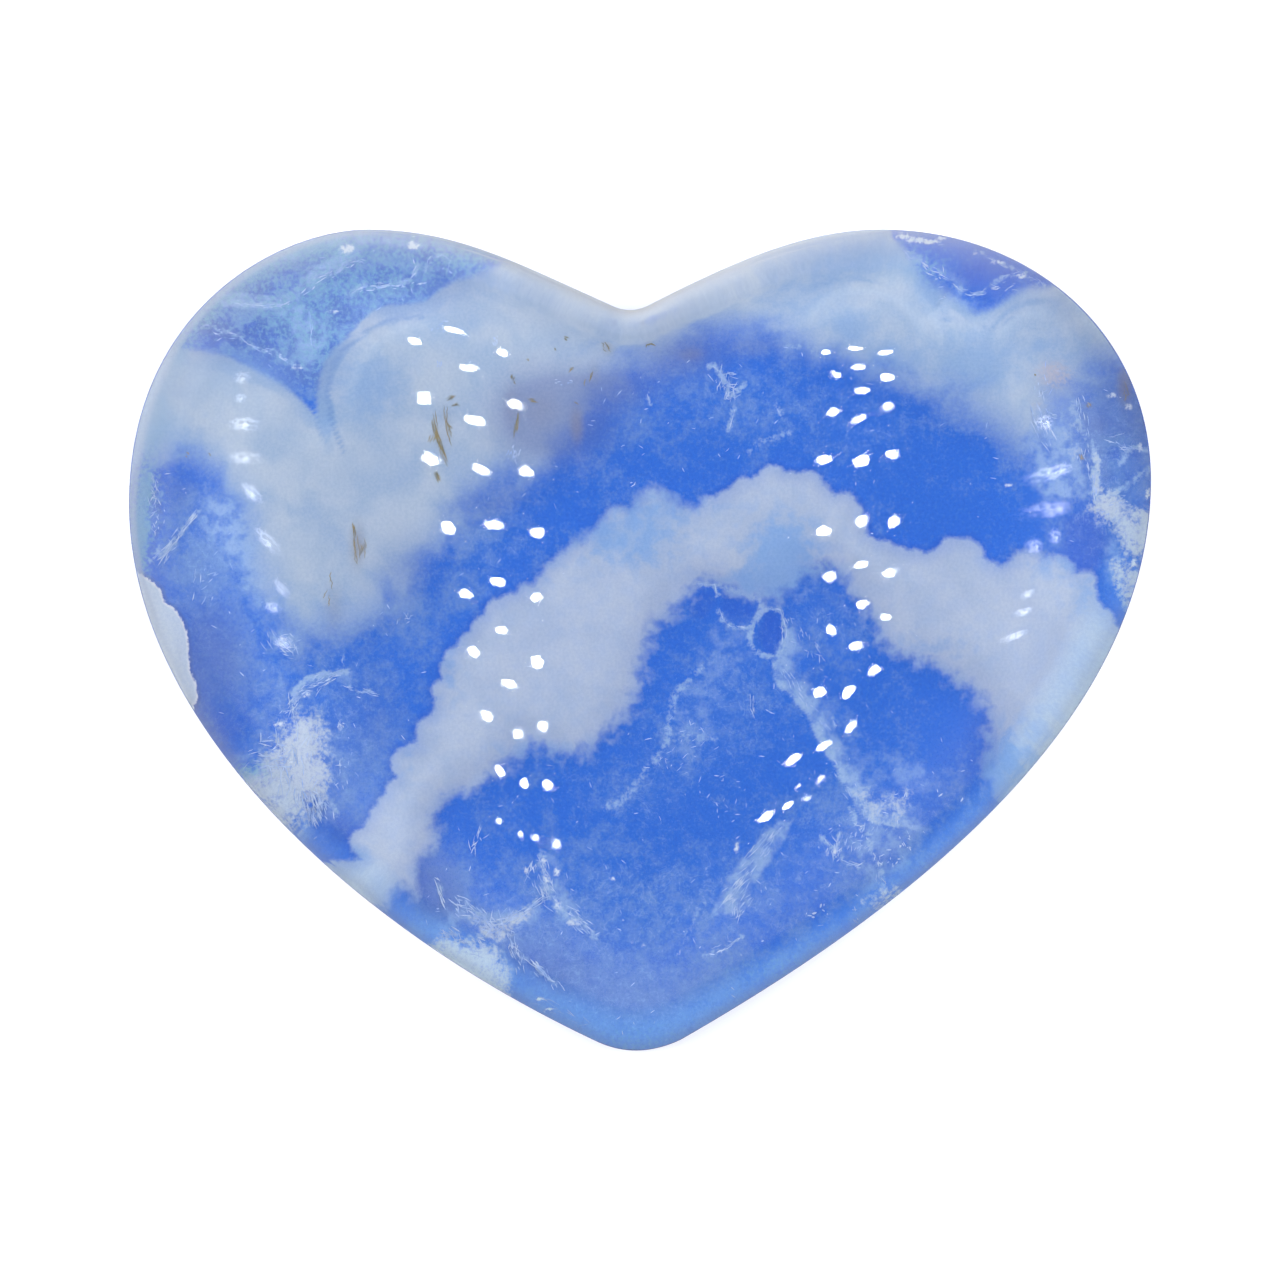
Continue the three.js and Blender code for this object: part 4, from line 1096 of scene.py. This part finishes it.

# Painted reflection: the upper left rim is painted whiter, for the white round the stone mirrored in it, and
# a fine grain lies over everything
colour = over(tree, times(mask["polish"], 0.6), colour, PAINTED_RIM_GLARE)
dust_parts = {part: ramp(tree, speckle, 0.3, 0.7, *swings) for part, swings in enumerate(DUST)}
dust = node(tree, "ShaderNodeCombineColor", dust_parts).outputs[0]
grained = node(tree, "ShaderNodeMix", {0: 1.0, 6: colour, 7: dust}, data_type="RGBA", blend_type="MULTIPLY")
# Painted light: the lower right rim is brightened again, low down where the crust gets less light
rim_light_gain = over(tree, mask["rim"], WHITE, PAINTED_RIM_GAIN)
lit = node(tree, "ShaderNodeMix", {0: 1.0, 6: grained.outputs[2], 7: rim_light_gain}, data_type="RGBA",
           blend_type="MULTIPLY", clamp_result=True)
feed(tree, shader.inputs["Base Color"], lit.outputs[2])
shader.inputs["Roughness"].default_value = CRUST_ROUGHNESS
shader.inputs["Specular IOR Level"].default_value = 0.0
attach(growth, "root")

# Round the plumes the agate holds fine pale needles, which grew in sprays along its cracks and rim. All
# of them lie on the growth, and are one mesh.
SPRAYS = [  # x, y, half length and half width of the spray, its direction, its fan, needles, their length
    (-10.2, -3.6, 1.1, 0.8, 80, 35, 60, 0.5), (-9.7, -5.0, 0.45, 0.5, 115, 22, 44, 0.5),
    (-11.0, -3.6, 0.6, 0.5, 10, 35, 40, 0.4), (-9.5, -1.3, 0.8, 0.16, 28, 25, 50, 0.4),
    (-10.2, -1.9, 0.3, 0.25, 70, 40, 24, 0.35), (-8.75, -2.5, 0.1, 0.1, 120, 80, 9, 0.25),
    (-10.5, -0.1, 0.5, 0.35, 150, 60, 34, 0.3), (-8.2, -1.5, 0.5, 0.06, 165, 10, 9, 0.4),
    (-6.9, 0.6, 0.25, 0.2, 60, 60, 10, 0.25), (-8.8, -3.9, 0.5, 0.5, 100, 60, 16, 0.25),
    (-4.9, -8.1, 0.7, 0.3, 140, 45, 34, 0.4), (-4.2, -8.3, 0.5, 0.45, 60, 55, 34, 0.4),
    (-5.3, -9.0, 0.7, 0.35, 150, 40, 44, 0.35), (-3.7, -9.2, 0.6, 0.2, 105, 35, 30, 0.35),
    (-2.8, -9.9, 0.7, 0.16, 130, 30, 20, 0.35), (-2.8, -7.2, 0.8, 0.28, 110, 30, 50, 0.35),
    (-1.8, -8.2, 0.5, 0.25, 140, 20, 26, 0.4), (-3.3, -7.9, 0.7, 0.12, 30, 15, 26, 0.5),
    (-5.9, -7.4, 0.4, 0.05, 110, 8, 7, 0.4), (-3.2, -6.8, 0.25, 0.2, 80, 50, 12, 0.25),
    (-2.3, -10.9, 0.8, 0.2, 150, 25, 20, 0.4), (-4.8, -5.9, 0.35, 0.15, 60, 30, 12, 0.35),
    (3.3, -6.6, 1.4, 0.28, 52, 14, 50, 0.5), (2.9, -7.7, 0.4, 0.4, 60, 35, 30, 0.35),
    (6.5, -5.6, 0.6, 0.6, 60, 60, 40, 0.22), (7.2, -4.9, 0.8, 0.35, 10, 60, 10, 0.18),
    (5.8, -6.1, 0.35, 0.25, 70, 45, 22, 0.28), (7.1, -6.9, 0.6, 0.16, 95, 40, 14, 0.22),
    (6.2, -6.6, 0.25, 0.05, 155, 10, 6, 0.3), (4.9, -1.8, 1.1, 0.13, 125, 18, 24, 0.3),
    (6.1, -4.3, 0.9, 0.2, 118, 22, 12, 0.25), (3.3, -1.9, 0.35, 0.08, 95, 20, 10, 0.25),
    (3.8, -2.1, 0.15, 0.03, 150, 8, 4, 0.3), (5.3, -8.0, 0.4, 0.25, 30, 40, 8, 0.15),
    (6.3, -8.2, 0.2, 0.1, 130, 20, 4, 0.15), (4.9, 0.0, 0.8, 0.3, 120, 50, 20, 0.25),
    (8.0, -5.7, 0.5, 0.4, 100, 60, 12, 0.16), (7.5, -6.2, 0.5, 0.4, 80, 60, 12, 0.16),
    (1.2, -3.0, 0.9, 0.8, 30, 80, 26, 0.22), (2.4, -4.6, 0.6, 0.8, 70, 80, 18, 0.18),
    (13.0, 6.2, 0.9, 0.25, 100, 24, 22, 0.3), (11.9, 6.3, 0.6, 0.3, 112, 18, 26, 0.45),
    (13.9, 3.9, 0.5, 0.35, 20, 50, 20, 0.2), (13.3, 4.7, 0.5, 0.1, 105, 20, 16, 0.35),
    (14.2, 5.7, 0.5, 0.15, 160, 30, 16, 0.35), (12.0, 7.6, 0.5, 0.5, 60, 80, 14, 0.25),
    (2.6, 7.5, 0.5, 0.3, 110, 60, 30, 0.35), (-13.6, 3.0, 0.8, 0.2, 52, 12, 30, 0.5),
    (-14.3, 4.0, 0.9, 0.2, 95, 50, 36, 0.3), (-12.6, 1.8, 0.8, 0.5, 60, 40, 14, 0.3),
    (-11.0, 9.8, 0.9, 0.12, 176, 22, 8, 0.2), (-9.4, 10.5, 0.6, 0.12, 38, 25, 10, 0.25),
    (-8.2, 11.2, 0.6, 0.15, 25, 30, 8, 0.25), (-7.2, 10.4, 0.9, 0.08, 8, 22, 14, 0.25),
    (-11.5, 8.7, 1.2, 0.1, 160, 20, 12, 0.2), (9.9, 10.3, 1.2, 0.15, 5, 35, 12, 0.25),
    (8.4, 11.0, 0.7, 0.12, 150, 25, 16, 0.28), (8.3, 11.75, 0.6, 0.08, 175, 15, 20, 0.2),
    (-3.7, 5.45, 0.2, 0.25, 60, 70, 24, 0.14), (-4.2, 8.8, 0.15, 0.1, 110, 40, 10, 0.14),
    (-5.9, 9.2, 0.3, 0.1, 30, 40, 8, 0.2), (-5.9, 8.1, 0.1, 0.1, 90, 40, 6, 0.14),
    (-2.2, 7.6, 0.3, 0.1, 5, 30, 8, 0.14),
]
LOOSE_NEEDLES = 420
LOOSE_REACH = (0.1, 0.97)
LOOSE_LENGTH = (0.05, 0.20)
NEEDLE_RADIUS = (0.005, 0.013)
NEEDLE_LENGTH = (0.3, 1.1)  # as shares of the length that the spray asks for
NEEDLE_BEND = 0.10
BEND_LEVEL = 0.08  # a bend's mean, taken off so that the needle stays about its middle
SPRAY_SPREAD = 0.5
FAN_SPREAD = 0.6
CLEAR_OF_BAND, CLEAR_OF_HAZE = -0.3, 0.2
STRANDS_PER_MM = 8
STRAND_LENGTH = 0.3
THREAD_WOBBLE = 0.25  # as a share of how far the thread strays from its crack
THREAD_POINTS = 6
THREAD_LIFT = 0.02 * MM
THREAD_HEIGHT = 0.3  # as a share of its half width
THREAD_POINT = 0.06  # how blunt its ends are
THREAD_FULLNESS = 0.7
PALE_NEEDLES = srgb(156, 186, 234), srgb(198, 216, 242)
NEEDLE_ROUGHNESS = 0.6


def on_growth(x, y):
    """The points just above the growth that are seen at places in the picture, and whether they exist."""
    shape = x.shape
    lands = np.column_stack(sight_lands(*dome_seen(x.ravel(), y.ravel())))
    hits = [growth.ray_cast((*land, CAP_TOP), (0, 0, -1)) for land in lands]
    found = np.array([hit[0] for hit in hits]).reshape(shape)
    heights = np.array([hit[1].z for hit in hits]) + THREAD_LIFT
    return np.column_stack((lands, heights)).reshape(*shape, 3), found


def lay_threads(name, x, y, radii):
    """One mesh of pointed threads on the growth: x and y hold each thread's points, as seen from above."""
    runs, found = on_growth(x, y)
    kept = found.all(axis=1)
    runs, radii = runs[kept], radii[kept] * MM
    along = np.gradient(runs, axis=1)
    across = np.cross(along, (0, 0, 1))
    across /= np.linalg.norm(across, axis=2, keepdims=True)
    upward = np.broadcast_to((0, 0, THREAD_HEIGHT), across.shape)
    taper = np.sin(np.linspace(THREAD_POINT, math.pi - THREAD_POINT, runs.shape[1])) ** THREAD_FULLNESS
    girth = (radii[:, None] * taper)[:, :, None, None]
    rims = runs[:, :, None] + girth * np.stack((across, upward, -across, -upward), axis=2)
    count, length, corners = rims.shape[:3]
    ring_of = np.arange(count * length).reshape(count, length)[:, :-1].ravel() * corners
    sides = []
    for corner in range(corners):
        after = (corner + 1) % corners
        sides.append(ring_of[:, None] + (corner, after, corners + after, corners + corner))
    starts = np.arange(count) * length * corners
    ends = starts + (length - 1) * corners
    caps = [starts[:, None] + (3, 2, 1, 0), ends[:, None] + (0, 1, 2, 3)]
    mesh = bpy.data.meshes.new(name)
    mesh.from_pydata(rims.reshape(-1, 3).tolist(), [], np.vstack(sides + caps).tolist())
    threads = bpy.data.objects.new(name, mesh)
    bpy.context.collection.objects.link(threads)
    bpy.ops.object.select_all(action="DESELECT")
    bpy.context.view_layer.objects.active = threads
    threads.select_set(True)
    bpy.ops.object.mode_set(mode="EDIT")
    bpy.ops.mesh.select_all(action="SELECT")
    bpy.ops.mesh.normals_make_consistent(inside=False)
    bpy.ops.object.mode_set(mode="OBJECT")
    return threads


bpy.context.view_layer.update()
dice = np.random.default_rng(7)
sprays = np.array(SPRAYS)
needle = np.repeat(sprays, sprays[:, 6].astype(int), axis=0)
count = len(needle)
spray_way = np.radians(needle[:, 4])
along_spray = dice.uniform(-1, 1, count) * needle[:, 2]
across_spray = dice.normal(0, SPRAY_SPREAD, count) * needle[:, 3]
middle_x = needle[:, 0] + along_spray * np.cos(spray_way) - across_spray * np.sin(spray_way)
middle_y = needle[:, 1] + along_spray * np.sin(spray_way) + across_spray * np.cos(spray_way)
way = spray_way + np.radians(needle[:, 5]) * dice.normal(0, FAN_SPREAD, count)
length = needle[:, 7] * dice.uniform(*NEEDLE_LENGTH, count)
loose_turn = dice.uniform(-math.pi, math.pi, LOOSE_NEEDLES)
loose_reach = dice.uniform(*LOOSE_REACH, LOOSE_NEEDLES)
loose_x, loose_y = contour(loose_turn, np.sqrt(loose_reach))
clear = inside(BAND_TOP + BAND_BOTTOM, loose_x / MM, loose_y / MM) < CLEAR_OF_BAND
clear &= inside(HAZE_TOP + HAZE_BOTTOM, loose_x / MM, loose_y / MM) < CLEAR_OF_HAZE
middle_x = np.append(middle_x, loose_x[clear] / MM)
middle_y = np.append(middle_y, loose_y[clear] / MM)
way = np.append(way, dice.uniform(0, math.pi, clear.sum()))
length = np.append(length, dice.uniform(*LOOSE_LENGTH, clear.sum()))
step = np.linspace(-0.5, 0.5, THREAD_POINTS)
bend = dice.normal(0, NEEDLE_BEND, len(way))[:, None] * (step ** 2 - BEND_LEVEL)
run_x = middle_x[:, None] + length[:, None] * (step * np.cos(way)[:, None] - bend * np.sin(way)[:, None])
run_y = middle_y[:, None] + length[:, None] * (step * np.sin(way)[:, None] + bend * np.cos(way)[:, None])


def follow(crack, threads, stray, length):
    """Threads that each follow a stretch of a crack, that much beside it: their points' x and y."""
    crack_x, crack_y = np.array(crack).T
    run = np.append(0, np.cumsum(np.hypot(np.diff(crack_x), np.diff(crack_y))))
    span = min(length, run[-1])
    at = dice.uniform(0, 1, (threads, 1)) * (run[-1] - span) + np.linspace(0, span, THREAD_POINTS)
    beside_crack = dice.normal(0, stray, (2, threads, 1))
    off_x, off_y = beside_crack + dice.normal(0, stray * THREAD_WOBBLE, (2, threads, THREAD_POINTS))
    return np.interp(at, run, crack_x) + off_x, np.interp(at, run, crack_y) + off_y


for half_width, amount, points in VEINS:
    if half_width < LEAST_LINE:
        reach_x, reach_y = np.ptp(points, axis=0)
        threads = int(STRANDS_PER_MM * amount * math.hypot(reach_x, reach_y))
        strand_x, strand_y = follow(points, threads, half_width / 2, STRAND_LENGTH)
        run_x, run_y = np.vstack((run_x, strand_x)), np.vstack((run_y, strand_y))
needles = lay_threads("pale_needles", run_x, run_y, dice.uniform(*NEEDLE_RADIUS, len(run_x)))

tree, shader = start_material(needles, "pale_needles")
needle_grain = grain(tree, object_mm(tree), 3.0, 2)
feed(tree, shader.inputs["Base Color"], over(tree, ramp(tree, needle_grain, 0.35, 0.65), *PALE_NEEDLES))
shader.inputs["Roughness"].default_value = NEEDLE_ROUGHNESS
shader.inputs["Specular IOR Level"].default_value = 0.0
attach(needles, "root")

# Rust has seeped into the haze along a few hairline cracks, and stands in it as brown, branching threads.
# They are one mesh too.
WISPS = [  # threads, their length, how far they stray, and the crack that they follow, from its top down
    (16, 0.5, 0.03, [(-6.12, 6.8), (-6.05, 6.4), (-6.0, 6.1), (-5.9, 5.75), (-5.75, 5.4), (-5.6, 5.1)]),
    (8, 0.5, 0.06, [(-6.12, 6.8), (-6.05, 6.4), (-6.0, 6.1), (-5.9, 5.75), (-5.85, 5.4)]),
    (9, 0.4, 0.04, [(-5.7, 7.05), (-5.72, 6.6), (-5.68, 6.2), (-5.6, 5.9), (-5.5, 5.6)]),
    (5, 0.25, 0.05, [(-5.7, 7.0), (-5.55, 7.1), (-5.4, 7.15)]),
    (4, 0.2, 0.04, [(-5.6, 6.85), (-5.4, 6.95), (-5.3, 6.9)]),
    (4, 0.25, 0.04, [(-6.0, 6.1), (-6.15, 5.8)]),
    (3, 0.2, 0.03, [(-5.7, 6.4), (-5.5, 6.2)]),
    (7, 0.3, 0.03, [(-6.05, 5.0), (-5.95, 4.8), (-5.85, 4.6)]),
    (9, 0.35, 0.04, [(-3.55, 6.7), (-3.6, 6.4), (-3.65, 6.1), (-3.7, 5.95)]),
    (4, 0.25, 0.03, [(-3.3, 7.05), (-3.0, 7.02)]),
    (7, 0.12, 0.06, [(-3.72, 7.85), (-3.72, 7.6)]),
    (3, 0.1, 0.03, [(-3.32, 8.27), (-3.28, 8.22)]),
    (12, 0.4, 0.04, [(-8.45, 3.55), (-8.38, 3.2), (-8.36, 2.8), (-8.3, 2.4), (-8.25, 2.2)]),
    (7, 0.3, 0.07, [(-8.3, 3.1), (-8.15, 2.8), (-8.2, 2.5)]),
    (5, 0.3, 0.10, [(-9.1, 2.0), (-9.05, 1.5), (-9.15, 1.0)]),
    (5, 0.25, 0.05, [(-1.3, 8.2), (-1.4, 7.9), (-1.5, 7.6), (-1.5, 7.4)]),
    (8, 0.25, 0.03, [(0.05, 9.15), (0.15, 8.95), (0.3, 8.8), (0.45, 8.7)]),
    (5, 0.12, 0.06, [(-2.2, 8.95), (-2.1, 8.9)]),
    (3, 0.1, 0.03, [(-2.55, 8.6), (-2.5, 8.55)]),
    (6, 0.2, 0.07, [(-1.0, 8.9), (-0.9, 8.6), (-1.0, 8.4)]),
    (4, 0.15, 0.04, [(-1.9, 8.05), (-2.05, 7.95)]),
    (3, 0.1, 0.03, [(-1.9, 7.0), (-1.8, 6.95)]),
    (6, 0.3, 0.05, [(14.25, 7.6), (14.35, 7.3), (14.3, 7.0)]),
    (3, 0.1, 0.03, [(11.65, 7.8), (11.7, 7.75)]),
    (4, 0.12, 0.04, [(13.15, 6.95), (13.25, 6.85)]),
    (4, 0.12, 0.04, [(12.95, 5.45), (13.0, 5.35)]),
    (3, 0.08, 0.03, [(-12.7, 5.5), (-12.65, 5.45)]),
    (3, 0.08, 0.03, [(-13.4, 5.5), (-13.35, 5.45)]),
]
WISP_RADIUS = (0.006, 0.014)
RUSTS = srgb(140, 138, 120), srgb(166, 152, 116)
RUST_ROUGHNESS = 0.7

run_x, run_y = np.empty((2, 0, THREAD_POINTS))
for threads, length, stray, crack in WISPS:
    wisp_x, wisp_y = follow(crack, threads, stray, length)
    run_x, run_y = np.vstack((run_x, wisp_x)), np.vstack((run_y, wisp_y))
wisps = lay_threads("rusty_wisps", run_x, run_y, dice.uniform(*WISP_RADIUS, len(run_x)))

tree, shader = start_material(wisps, "rusty_wisps")
wisp_grain = grain(tree, object_mm(tree), 2.0, 2)
feed(tree, shader.inputs["Base Color"], over(tree, ramp(tree, wisp_grain, 0.35, 0.65), *RUSTS))
shader.inputs["Roughness"].default_value = RUST_ROUGHNESS
shader.inputs["Specular IOR Level"].default_value = 0.0
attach(wisps, "root")

# The cap is clear agate, ground flat below and cut to a low dome above, and polished until it shines.
# It is cemented on the blue stone with no air between, so its flat side reaches a hair into the backing.
CAP_CELLS = 200
CEMENT_GRIP = 0.02 * MM
GRIP_WIDTH = 0.996  # how wide the cap still is, that deep
AGATE_TINT = (0.97, 0.985, 1, 1)
CAP_POLISH = (0.015, 0.03)  # the least and the most roughness
RIPPLE_HEIGHT = 0.01 * MM

cap, ring, angle = pressed_square("clear_agate_cap", CAP_CELLS)
reach = np.sin(ring * math.pi / 2)
set_places(cap, np.column_stack((*contour(angle, reach), dome_at(reach))))

bpy.ops.object.mode_set(mode="EDIT")
bpy.ops.mesh.select_all(action="SELECT")
bpy.ops.mesh.region_to_loop()
bpy.ops.mesh.extrude_region_move(TRANSFORM_OT_translate={"value": (0, 0, -CEMENT_GRIP)})
bpy.ops.transform.resize(value=(GRIP_WIDTH, GRIP_WIDTH, 1), center_override=(*CROWN, 0))
bpy.ops.mesh.edge_face_add()
bpy.ops.mesh.select_all(action="SELECT")
bpy.ops.mesh.normals_make_consistent(inside=False)
bpy.ops.object.mode_set(mode="OBJECT")
bpy.ops.object.shade_smooth_by_angle(angle=HARD_EDGE)

tree, shader = start_material(cap, "clear_agate")
shader.inputs["Base Color"].default_value = AGATE_TINT
shader.inputs["Transmission Weight"].default_value = 1
shader.inputs["IOR"].default_value = AGATE_IOR
polish = grain(tree, object_mm(tree), 1.6, 3, 0.5)
feed(tree, shader.inputs["Roughness"], ramp(tree, polish, 0.3, 0.7, *CAP_POLISH))
ripple = node(tree, "ShaderNodeBump", {"Height": polish, "Strength": 0.06, "Distance": RIPPLE_HEIGHT})
feed(tree, shader.inputs["Normal"], ripple.outputs[0])
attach(cap, "root")
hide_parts("agate_cap")

# Two strips of small white lamps hang over the stone, three lamps wide, one strip to each side of the
# camera. They only show as the bright dots mirrored in the polish, so each one hangs where its dot is
# seen, and is as large as the dot needs: x, y, width and height in millimetres, and its turn in degrees.
LAMP_DOTS = [
    (-6.60, 8.78, 0.45, 0.25, -15), (-5.45, 9.10, 0.75, 0.20, -15), (-5.05, 7.98, 0.70, 0.22, -5),
    (-4.05, 8.45, 0.40, 0.25, -10), (-6.31, 7.10, 0.48, 0.45, 0), (-4.84, 6.46, 0.65, 0.33, -10),
    (-3.67, 6.93, 0.50, 0.32, -20), (-6.13, 5.31, 0.48, 0.35, -20), (-4.65, 5.00, 0.62, 0.28, -15),
    (-3.35, 4.96, 0.50, 0.38, -20), (-5.62, 3.30, 0.52, 0.38, -35), (-4.29, 3.38, 0.62, 0.34, -10),
    (-2.99, 3.14, 0.48, 0.34, 0), (-5.14, 1.35, 0.45, 0.32, -20), (-4.17, 1.70, 0.50, 0.28, -15),
    (-3.05, 1.22, 0.38, 0.34, 0), (-4.87, -0.35, 0.32, 0.38, 0), (-4.08, 0.29, 0.38, 0.24, 0),
    (-3.02, -0.65, 0.34, 0.42, 20), (-4.49, -2.23, 0.48, 0.28, -50), (-3.85, -1.26, 0.48, 0.28, -20),
    (-2.85, -2.52, 0.30, 0.38, 10), (-3.61, -2.76, 0.38, 0.28, 0), (-4.11, -3.85, 0.44, 0.24, -55),
    (-3.40, -4.20, 0.28, 0.36, 0), (-2.72, -4.26, 0.32, 0.38, 0), (5.45, 8.45, 0.34, 0.16, 0),
    (6.31, 8.57, 0.50, 0.15, 0), (7.20, 8.45, 0.50, 0.17, 10), (6.40, 8.01, 0.50, 0.17, 0),
    (5.75, 7.80, 0.34, 0.18, -35), (7.25, 7.72, 0.40, 0.20, 0), (6.50, 7.31, 0.48, 0.22, 0),
    (5.67, 6.70, 0.40, 0.25, 25), (7.28, 6.87, 0.38, 0.25, 10), (6.46, 6.50, 0.45, 0.22, 20),
    (5.40, 5.30, 0.48, 0.33, 5), (6.48, 5.25, 0.48, 0.33, 5), (7.37, 5.45, 0.38, 0.33, 0),
    (5.40, 3.20, 0.48, 0.28, 10), (6.50, 3.50, 0.46, 0.38, 20), (7.42, 3.46, 0.38, 0.38, 0),
    (5.58, 1.85, 0.44, 0.28, 0), (6.48, 2.20, 0.42, 0.20, 0), (7.30, 1.97, 0.50, 0.24, 5),
    (5.60, 0.29, 0.40, 0.32, 15), (6.52, 1.05, 0.40, 0.27, 0), (7.22, 0.65, 0.34, 0.24, 0),
    (6.31, -0.18, 0.44, 0.28, 25), (6.90, -0.88, 0.38, 0.24, 30), (5.26, -1.53, 0.44, 0.34, 35),
    (6.10, -1.53, 0.56, 0.30, 50), (6.20, -2.55, 0.48, 0.22, 45), (5.40, -3.12, 0.56, 0.22, 35),
    (4.50, -3.50, 0.62, 0.28, 35), (3.68, -5.20, 0.60, 0.24, 35), (4.35, -4.86, 0.40, 0.16, 40),
]
LAMP_DISTANCE = 100 * MM
LAMP_BRIGHTNESS = 60
LAMP_EDGE = 0.2  # how much of a lamp's glow fades off, from 0 to 1
LAMP_SWELL = (0.82, 0.4)  # a lamp's size with a hard edge, and what a fully soft one adds
LAMP_HOOD = math.radians(4.4)  # small enough that each lamp is mirrored in one place only
# The outer ends of the two strips are dim and out of focus, and leave soft smears near the sides: x, y,
# width, height, turn and brightness
SMEARS = [
    (-11.7, 7.7, 0.55, 0.40, 0, 5), (-11.75, 7.1, 0.40, 0.30, 0, 5), (-11.7, 6.35, 0.95, 0.45, 0, 7),
    (-11.7, 5.35, 1.0, 0.40, 0, 6), (-11.45, 4.35, 0.80, 0.36, -40, 9), (-11.0, 2.95, 1.1, 0.40, -45, 6),
    (-10.55, 1.5, 0.75, 0.32, -50, 7), (-10.8, 0.95, 0.50, 0.30, 0, 8), (-10.5, -0.1, 0.60, 0.45, 0, 5),
    (11.9, 6.4, 0.55, 0.45, 0, 8), (12.25, 4.95, 1.3, 0.42, 16, 9), (12.2, 3.86, 1.25, 0.50, 8, 9),
    (11.6, 2.75, 0.55, 0.46, 0, 9), (12.2, 3.05, 0.40, 0.46, 0, 8), (11.4, 1.35, 0.50, 0.22, 30, 10),
    (11.3, 0.85, 0.60, 0.22, 20, 12), (11.05, 0.12, 0.90, 0.22, 22, 10),
]
SMEAR_EDGE = 1.0
# The smaller, dimmer lamps at the strips' lower ends
FAINT_DOTS = [
    (-4.13, -5.35, 0.14, 0.20, 25), (-3.52, -5.70, 0.20, 0.18, -30), (-3.06, -5.79, 0.20, 0.18, 0),
    (-2.46, -5.98, 0.28, 0.30, 0), (5.30, -4.10, 0.40, 0.10, 45), (4.65, -4.30, 0.24, 0.08, 40),
    (4.90, -4.65, 0.32, 0.10, 40),
]
FAINT_BRIGHTNESS = 45


def mirrored(x, y):
    """Where a lamp hangs that the camera sees mirrored at a place in the picture, and that place."""
    meets, sight = sight_to(*dome_seen(x, y))
    normal = dome_normal(*dome_seen(x, y))
    return (meets + (sight - 2 * (sight * normal).sum(axis=0) * normal) * LAMP_DISTANCE).T, meets.T


def hang_lamp(name, dot, brightness, soft_edge, hooded=True):
    """Hangs a lamp so that its mirrored dot has the asked place, size, turn and soft edge."""
    dot_x, dot_y, dot_width, dot_height, dot_turn = dot
    turn = math.radians(dot_turn)
    width_x, width_y = dot_width / 2 * math.cos(turn), dot_width / 2 * math.sin(turn)
    height_x, height_y = -dot_height / 2 * math.sin(turn), dot_height / 2 * math.cos(turn)
    places, meets = mirrored(dot_x + np.array((0, -width_x, width_x, -height_x, height_x)),
                             dot_y + np.array((0, -width_y, width_y, -height_y, height_y)))
    toward = (places[0] - meets[0]) / LAMP_DISTANCE
    spans = np.column_stack((places[2] - places[1], places[4] - places[3]))
    spans -= np.outer(toward, toward @ spans)
    axes, sizes, _ = np.linalg.svd(spans, full_matrices=False)
    sizes *= LAMP_SWELL[0] + LAMP_SWELL[1] * soft_edge
    light = bpy.data.lights.new(name, "AREA")
    light.shape = "ELLIPSE"
    light.size, light.size_y = sizes
    light.energy = brightness * math.pi * sizes[0] * sizes[1] * math.pi / 4
    if hooded:
        light.spread = LAMP_HOOD
        light.energy *= (LAMP_HOOD / 2) ** 2 / 3
    light.use_nodes = True
    tree = light.node_tree
    on_lamp = node(tree, "ShaderNodeNewGeometry").outputs["Parametric"]
    off_middle = node(tree, "ShaderNodeVectorMath", {0: on_lamp, 1: (0.5, 0.5, 0)}, operation="DISTANCE")
    glow = ramp(tree, off_middle.outputs["Value"], 0.5, 0.5 * (1 - soft_edge))
    if not hooded:
        streaks = node(tree, "ShaderNodeTexNoise", {"Vector": on_lamp, "Scale": 6, "Detail": 2},
                       noise_dimensions="2D").outputs["Fac"]
        glow = maths(tree, "MULTIPLY", glow, ramp(tree, streaks, 0.35, 0.65, 0.2, 1.8))
    bounces = node(tree, "ShaderNodeLightPath").outputs["Diffuse Depth"]
    glow = maths(tree, "MULTIPLY", glow, maths(tree, "LESS_THAN", bounces, 0.5))
    feed(tree, tree.nodes["Emission"].inputs["Strength"], glow)
    lamp = bpy.data.objects.new(name, light)
    lamp.visible_camera = lamp.visible_diffuse = lamp.visible_transmission = False
    facing = Matrix((axes[:, 0], np.cross(toward, axes[:, 0]), toward)).transposed().to_4x4()
    lamp.matrix_world = Matrix.Translation(places[0]) @ facing
    bpy.context.collection.objects.link(lamp)


for number, dot in enumerate(LAMP_DOTS):
    hang_lamp(f"lamp_{number}", dot, LAMP_BRIGHTNESS, LAMP_EDGE)
for number, dot in enumerate(FAINT_DOTS):
    hang_lamp(f"faint_lamp_{number}", dot, FAINT_BRIGHTNESS, LAMP_EDGE)
for number, (*smear, brightness) in enumerate(SMEARS):
    hang_lamp(f"smear_lamp_{number}", smear, brightness, SMEAR_EDGE, hooded=False)
